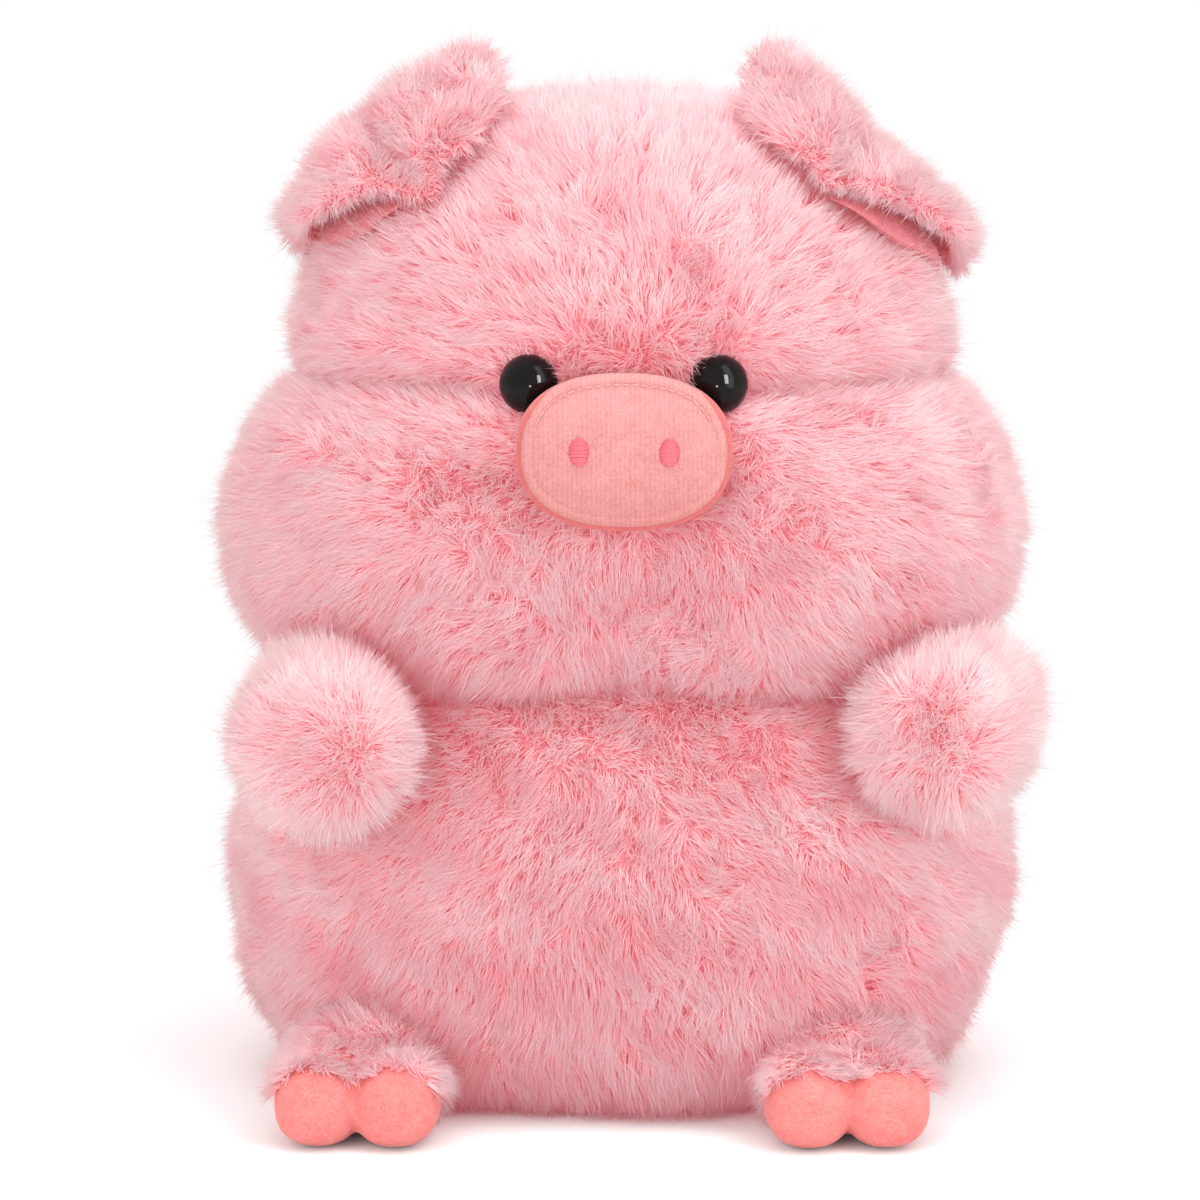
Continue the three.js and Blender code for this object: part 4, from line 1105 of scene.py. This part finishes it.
def hoof_parts(leg):
    """The two toes and the pad of a hoof, as grids of points."""
    x, y, _ = leg["pivot"]
    steps = (shift(x, y, 0), turn(leg["toe_out"], "Z"), shift(0, -40, 0))
    parts = []
    for side in (1, -1):
        toe = squared(stub_grid(TOE_ROWS, 10.3, 32, 0, 30, 40)) * np.array([1, 1, 0.96])
        parts.append(placed(toe, *steps, shift(8.0 * side, 0, 10.2), turn(3 * side, "Z")))
    pad = stub_grid(TOE_ROWS, 15.5, 26, 0, 30, 40) * np.array([1, 1, 0.56])
    parts.append(placed(pad, *steps, shift(0, 0, 11.8)))
    return parts


# %% Hem over a hoof
def hem_over(hoof, name, leg):
    """The ragged hem of pile that hangs from the leg over the top of its hoof."""
    rng = np.random.default_rng(60 + leg["side"])
    places = np.array([v.co[:] for v in hoof.data.vertices]) / MM
    normals = np.array([v.normal[:] for v in hoof.data.vertices])
    ahead = in_leg(places, leg)
    # The hem's edge wanders, hangs lower at the sides and ends short of the toes.
    wander = waves(places, 70 + leg["side"], 7, 16)
    low = 17.3 - 3 * np.clip(np.abs(ahead[:, 0]) / 18, 0, 1) ** 5 + 1.6 * wander[:, 0]
    low = np.where(ahead[:, 1] < -66, 99, low)
    keep = (places[:, 2] > low) & (ahead[:, 1] < -44) & (normals[:, 2] > -0.1)
    keep &= rng.random(len(places)) < 0.24
    places, normals = places[keep], normals[keep]
    way = along_surface(np.array([0, -1, -0.9]) + 0 * normals, normals)
    seed, long = 80 + leg["side"], np.full(len(places), 5.6)
    locks = pile_of(places, normals, way, long, 30, rng, seed, 0.5, None, 0.15, 0.4)
    grow(f"leg_hem_{name}", locks, rng, f"leg_{name}")


# %% Hooves
for name, leg in legs.items():
    settled = (hoof_velour, f"leg_{name}", "coral_velour")
    hoof = detail_mesh(f"hoof_velour_{name}", hoof_parts(leg), *settled)
    remeshed(hoof, 0.95)
    relaxed(hoof, 2)
    inflated(hoof, cap=0.7)
    relaxed(hoof, 1)
    above_floor(hoof, 0.4)
    hoof.data.shade_smooth()
    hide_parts(f"hoof_{name}")
    print(hoof.name, len(hoof.data.polygons), "faces")
    hem_over(hoof, name, leg)

# %% [markdown]
# ## Snout
# The snout is an oval cushion: a domed face, and a side band sewn round it. The seam between
# them makes a narrow roll, and a row of stitches follows it on the face, 2 mm inside. The eyes
# press into the band, so the band gives way round them.

# %% Snout
FACE_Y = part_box("snout_face")[0][1] / MM + snout["dome"]
snout_frame = (shift(0, FACE_Y, snout["middle_z"]), turn(snout["tilt"], "Y"))


def snout_ring(share, inset, out, sides=192):
    """A ring of the snout: a share of its outline less an inset, and how far it stands out."""
    c, s = oval(once_round(sides), snout["squareness"])
    x = c * (snout["half_width"] - inset) * share
    z = s * (snout["half_height"] - inset) * share
    return np.stack([x, np.full_like(x, -out), z], -1)


# %% Room for the eyes
def round_the_eyes(points, clear=7.5):
    """Points pushed out of the room that the two eyes need."""
    height = eye["flange"] + eye["dome"]
    for name, side in SIDES:
        axis = np.array([math.sin(eye["turn"]) * side, -math.cos(eye["turn"]), 0])
        back = np.array([eye["x"] * side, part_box(f"eye_{name}")[0][1] / MM + height, eye["z"]])
        along = (points - back) @ axis
        off = points - back - along[..., None] * axis
        far = np.linalg.norm(off, axis=-1)
        fits = (along > -1) & (along < height + 0.6) & (far < clear)
        grown = np.maximum(clear / np.maximum(far, 0.5), 1)[..., None]
        points = np.where(fits[..., None], back + along[..., None] * axis + off * grown, points)
    return points


# %% Face of the snout
SEAM_INSET = 2.1  # of the stitches and the groove that they draw, from the face's edge
FACE_INSET = 0.9  # so that the edge of the side band shows round the face, but not over its top
upwards = snout_ring(1, 0, 0)[:, 2] / snout["half_height"]
over_top = np.clip((upwards - 0.3) / 0.5, 0, 1)
over_top = over_top**2 * (3 - 2 * over_top)


def turned_over(inset):
    """What moves a ring of the face up and back where it turns over the top of the band."""
    rise = 1.7 * np.clip(1 - (inset - 1.2) / 4, 0, 1) * over_top
    back = 2.6 * np.clip(1 - inset / 0.9, 0, 1) * over_top
    return np.stack([0 * rise, back, rise], -1)


face_rows = []
for inset, out in ((1.2, -1.1), (0.5, -0.5)):  # the edge of the face, tucked in behind it
    tucked = snout_ring(1, inset + FACE_INSET, out)
    face_rows.append(tucked + turned_over(0) * [1, 1, 1 - inset / 3])
for inset in (0.1, 0, 0.12, 0.4, 0.8, 1.2, 1.5, 1.8, SEAM_INSET, 2.4, 2.8, 3.3, 4, 5):
    share = 1 - inset / snout["half_height"]
    roll = 0.95 * math.sqrt(max(0, 1 - ((inset - 1.1) / 1.15) ** 2)) if inset < 2.2 else 0
    groove = -0.35 * hump(inset, 0.45, SEAM_INSET)
    out = snout["dome"] * (1 - share**3) + 0.55 * roll + groove
    face_rows.append(snout_ring(1, inset + FACE_INSET, out) + turned_over(inset))
for share in (0.64, 0.56, 0.48, 0.4, 0.3, 0.2, 0.1, 0.03):
    face_rows.append(snout_ring(share, 0, snout["dome"] * (1 - share**3)))
face_grid = placed(np.array(face_rows), *snout_frame)
settled = (snout_velour, "torso", "coral_velour", "snout_face", 0.85)
detail_mesh("snout_face_velour", [face_grid], *settled)

# %% Side band of the snout
band_rows = []
for out in (0.1, -0.3, -0.7, -1.2, -1.8, *np.linspace(-2.5, -24, 34)):
    bulge = 0.5 * hump(out, 5, -6) - 1.1 * hump(out, 0.9, 0.1)
    band_rows.append(snout_ring(1, -bulge, out))
band_grid = round_the_eyes(placed(np.array(band_rows), *snout_frame))
settled = (band_velour, "torso", "coral_velour", "snout_band", 0.85)
detail_mesh("snout_band_velour", [band_grid], *settled)

# %% [markdown]
# The stitches round the snout's face are short runs of thread, 1.6 mm long with a small gap
# between them. The nostrils are satin stitch: strands laid side by side across an oval, each
# a little uneven, raised in the middle where they lie over each other.

# %% Threads
thread_finish = two_tone(
    "glossy_rayon_thread",
    "ShaderNodeTexWave",
    {"Scale": 900, "Distortion": 1.5},  # the twist of the thread
    [(0.2, "#e9606f"), (0.8, "#f87e8c")],
    {"Roughness": 0.42, "Specular IOR Level": 0.5},
    {"Strength": 0.3, "Distance": 0.0001},
)
seam_finish = velour("coral_seam_thread", "#fbb9b3", "#f09c97", grain=0.3)


def strand_grid(path, radius, sides=8):
    """A thread along a path, thin at both ends."""
    path = np.asarray(path, float)
    way = unit(np.gradient(path, axis=0))
    side = unit(np.cross(way, [0, 0.3, 1]))
    other = np.cross(way, side)
    ends = np.sin(np.linspace(0.12, np.pi - 0.12, len(path))) ** 0.35
    angle = once_round(sides)
    ring = side[:, None] * np.cos(angle)[:, None] + other[:, None] * np.sin(angle)[:, None]
    return path[:, None] + ring * (radius * ends)[:, None, None]


def face_out(x, z):
    """How far the snout's face stands out at a place of it."""
    share = oval_share(x, z, snout["half_width"], snout["half_height"], snout["squareness"])
    return snout["dome"] * (1 - min(share, 1) ** 3)


# %% Stitches round the face
STITCH, STITCH_STEP = 1.6, 2.1  # a stitch's length, and from one stitch to the next
stitches = []
outline = (snout_ring(1, SEAM_INSET + FACE_INSET, 0) + turned_over(SEAM_INSET))[:-1, [0, 2]]
length = np.concatenate([[0], np.cumsum(np.linalg.norm(np.diff(outline, axis=0), axis=1))])
for start in np.arange(0, length[-1] - STITCH, STITCH_STEP):
    at = np.linspace(start, start + STITCH, 7)
    xs, zs = np.interp(at, length, outline[:, 0]), np.interp(at, length, outline[:, 1])
    if zs.min() < 0.35 * snout["half_height"]:
        continue  # elsewhere the seam's roll hides them
    path = [(x, -1.15 - 0.1 * math.sin(math.pi * k / 6), z) for k, (x, z) in enumerate(zip(xs, zs))]
    stitches.append(placed(strand_grid(path, 0.17, 6), *snout_frame))
detail_mesh("snout_top_stitch", stitches, seam_finish, "torso", "coral_thread")

# %% Nostrils
NOSTRIL_HALF_WIDTH, NOSTRIL_HALF_HEIGHT = 2.45, 3.12
rng = np.random.default_rng(50)
for name, side in SIDES:
    strands = []
    middle_x, middle_z = 10.3 * side, 0.6
    for z in np.arange(-3.0, 3.05, 0.4):
        half = NOSTRIL_HALF_WIDTH * math.sqrt(1 - (z / NOSTRIL_HALF_HEIGHT) ** 2)
        half += rng.normal(0, 0.07)
        z = z + rng.normal(0, 0.02)
        xs = np.linspace(-half, half, 9)
        path = []
        for x in xs:
            out = face_out(middle_x + x, middle_z + z) + 0.5 * (1 - (x / half) ** 4)
            path.append((middle_x + x, -out, middle_z + z))
        strands.append(placed(strand_grid(path, 0.22), *snout_frame))
    settled = (thread_finish, "torso", "coral_thread", f"nostril_{name}")
    detail_mesh(f"nostril_stitches_{name}", strands, *settled)

# %% [markdown]
# ## Eyes
# Safety eyes are moulded in black plastic and polished: a dome on a thin flange, with a
# ribbed post behind it that goes through the cloth into a nylon washer. The dome is spun from
# its profile. Its gloss mirrors the lamps as small bright windows.

# %% Spinning a profile
def turned_piece(name, profile, whole, sides=64):
    """A closed body of revolution, spun from a profile of radius and height, in its place."""
    mesh = bpy.data.meshes.new(name)
    points = [(r * MM, 0, h * MM) for r, h in profile]
    mesh.from_pydata(points, [(k, k + 1) for k in range(len(points) - 1)], [])
    made = in_scene(name, mesh)
    select_only(made)
    bpy.ops.object.mode_set(mode="EDIT")
    bpy.ops.mesh.select_all(action="SELECT")
    bpy.ops.mesh.spin(steps=sides, angle=math.tau, center=(0, 0, 0), axis=(0, 0, 1))
    bpy.ops.mesh.select_all(action="SELECT")
    bpy.ops.mesh.remove_doubles(threshold=1e-6)
    bpy.ops.mesh.normals_make_consistent(inside=False)
    bpy.ops.object.mode_set(mode="OBJECT")
    for v in made.data.vertices:
        v.co = whole @ v.co
    made.data.shade_smooth()
    return made


# %% Plastic and nylon
plastic = two_tone(
    "polished_black_plastic",
    "ShaderNodeTexNoise",
    {"Scale": 160, "Detail": 2},  # a faint haze from handling
    [(0.3, "#0d0b0c"), (0.7, "#161213")],
    {"Roughness": 0.06, "Specular IOR Level": 0.2},
)

# %% Eyes
dome = [
    (eye["radius"] * math.cos(a), eye["flange"] + eye["dome"] * math.sin(a))
    for a in np.linspace(0, math.pi / 2, 25)
]
dome[-1] = (0, dome[-1][1])
POST, CORE, RIB = 13, 1.45, 1.8  # the post's length, and its radius between and on its ribs
post = [(0, -POST), (1.3, -POST), (CORE, -12.8)]
for k in (3, 2, 1):
    z = -2 * k * POST / 7
    post += [(CORE, z - 0.2), (CORE, z), (RIB, z + POST / 7 - 0.15), (RIB, z + POST / 7)]
profile = post + [(RIB, 0), (6.4, 0), (6.8, 0.1), (6.98, 0.4)] + dome
for name, side in SIDES:
    reach = (eye["flange"] + eye["dome"]) * math.cos(eye["turn"])
    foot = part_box(f"eye_{name}")[0][1] / MM + reach
    foot = Matrix.Translation(Vector((eye["x"] * side, foot, eye["z"])) * MM)
    whole = product(foot, Matrix.Rotation(eye["turn"] * side, 4, "Z"), turn(90, "X"))
    made = turned_piece(f"eye_dome_{name}", profile, whole)
    settle(made, plastic, "torso", "black_gloss", f"eye_{name}")

nylon = two_tone(
    "clear_nylon_washer",
    "ShaderNodeTexNoise",
    {"Scale": 400, "Detail": 3},  # the cloudiness of moulded nylon
    [(0.3, "#d9dcda"), (0.7, "#eceeec")],
    {"Roughness": 0.35, "Transmission Weight": 0.4},
)
for name, _ in SIDES:
    dress(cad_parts[f"eye_washer_{name}"], nylon)

# %% [markdown]
# ## Seat, tail and filling
# The seat is a flat oval panel of short knitted plush, which lets the toy stand. The tail is a
# curled tube of velour. Inside are loose polyester fibre and a cotton pouch of pellets; they
# can't be seen in the finished toy, yet whoever opens the file finds them.

# %% Seat panel
panel_finish = velour("pink_short_plush", "#f5b4bc", "#e89aa6")
PANEL_HALF_WIDTH, PANEL_HALF_DEPTH = 49.8, 29.8
panel_rows = []
for inset, z in (
    (30, 0.45), (12, 0.45), (5, 0.45), (2, 0.55), (0.6, 0.95), (0.2, 1.8), (0.2, 3), (0.8, 4.4),
    (2.4, 6), (5, 7.3), (9, 8.1), (16, 8.5), (26, 8.6),
):
    share = 1 - inset / 50
    c, s = oval(once_round(160), 2.3)
    x, y = c * PANEL_HALF_WIDTH * share, s * PANEL_HALF_DEPTH * share
    panel_rows.append(np.stack([x, y, np.full_like(c, z)], -1))
seat_middle = np.mean(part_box("seat_panel"), axis=0) / MM * [1, 1, 0]
panel_grid = np.array(panel_rows) + seat_middle
settled = (panel_finish, "torso", "pink_fur", "seat_panel", 0.6)
detail_mesh("seat_plush", [panel_grid], *settled)

# %% Tail
TAIL_RADIUS = 4.8
root = np.array([0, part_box("tail")[0][1] / MM + TAIL_RADIUS, 52])
points = [root + [0, -TAIL_RADIUS, 0], root + [0, 4.5, 0]]
for k in range(11):
    turned_by = k / 10 * 1.15
    a = turned_by * math.tau
    points.append(root + [11.5 * math.sin(a), 9 + 11 * turned_by, 11.5 * (1 - math.cos(a))])
points = np.array(points)
curl = between(points - points.min(0), np.linspace(0, len(points) - 1, 90)) + points.min(0)
way = unit(np.gradient(curl, axis=0))
one = unit(np.cross(way, [1, 0.2, 0.1]))
for k in range(1, len(one)):
    one[k] = unit(one[k - 1] - way[k] * np.dot(one[k - 1], way[k]))
two = np.cross(way, one)
at = np.linspace(0, 1, len(curl))
thick = TAIL_RADIUS * (1 - 0.45 * at) * np.sqrt(np.minimum(1, (1.001 - at) * 9))
angle = once_round(40)[None, :, None]
pinch = 1 - 0.1 * hump(angle, 0.16, np.pi)
ring = one[:, None] * np.cos(angle) + two[:, None] * np.sin(angle)
tail_grid = curl[:, None] + ring * thick[:, None, None] * pinch
settled = (lining_velour, "tail", "coral_velour", "tail", 0.8)
detail_mesh("tail_velour", [tail_grid], *settled)

# %% Fibrefill and cotton
fibrefill = two_tone(
    "polyester_fibrefill",
    "ShaderNodeTexNoise",
    {"Scale": 260, "Detail": 6},  # tufts of 4 mm, with the fibres in them
    [(0.3, "#e9e6e3"), (0.7, "#f8f6f4")],
    {"Roughness": 0.95},
    {"Strength": 0.6, "Distance": 0.001},
)

pellet_cotton, tree, out = new_material("pellet_bag_cotton")
where = add(tree, "ShaderNodeTexCoord").outputs["Object"]
pellets = add(tree, "ShaderNodeTexVoronoi", {"Vector": where, "Scale": 260})
weave = add(tree, "ShaderNodeTexNoise", {"Vector": where, "Scale": 2000})
tone = add(tree, "ShaderNodeValToRGB", {0: weave.outputs["Fac"]})
set_ramp(tone, [(0.3, "#e2ddd0"), (0.7, "#f0ece2")])
bump = {"Height": pellets.outputs["Distance"], "Strength": 0.7, "Distance": 0.001}
bump = add(tree, "ShaderNodeBump", bump)
cotton = {"Base Color": tone.outputs[0], "Roughness": 0.9, "Normal": bump.outputs[0]}
cotton = add(tree, "ShaderNodeBsdfPrincipled", cotton)
tree.links.new(cotton.outputs[0], out.inputs["Surface"])


# %% Filling
def filling(node, body_name, finish=fibrefill, slot="white_fill", shrink=2.5, voxel=3.2):
    """A soft rounded filling made from a CAD node: melted, smoothed and drawn in a little."""
    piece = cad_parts[node].copy()
    piece.data = piece.data.copy()
    piece.name = piece.data.name = f"{node}_fill"
    piece.parent = None
    for key in list(piece.keys()):
        del piece[key]
    bpy.context.scene.collection.objects.link(piece)
    mend(piece.data)
    remeshed(piece, voxel)
    relaxed(piece, 6)
    normals = [v.normal.copy() for v in piece.data.vertices]
    for v, normal in zip(piece.data.vertices, normals):
        v.co -= normal * shrink * MM
    relaxed(piece, 3)
    piece.data.shade_smooth()
    settle(piece, finish, body_name, slot, node, 0.8)


filling("head_stuffing", "torso")
filling("body_stuffing", "torso")
filling("snout_stuffing", "torso", shrink=0.8, voxel=1.2)
filling("pellet_pouch", "torso", pellet_cotton, "pellet_cloth", 0.8, 2)
for name, _ in SIDES:
    for kind in ("arm", "leg"):
        filling(f"{kind}_stuffing_{name}", f"{kind}_{name}", shrink=1, voxel=2)

# %% Sizes at the end
print("blades in all:", sum(blade_counts))
shown = {piece.data for piece in bpy.data.objects if piece.type == "MESH" and not piece.hide_render}
print("triangles in all:", sum(len(f.vertices) - 2 for mesh in shown for f in mesh.polygons))
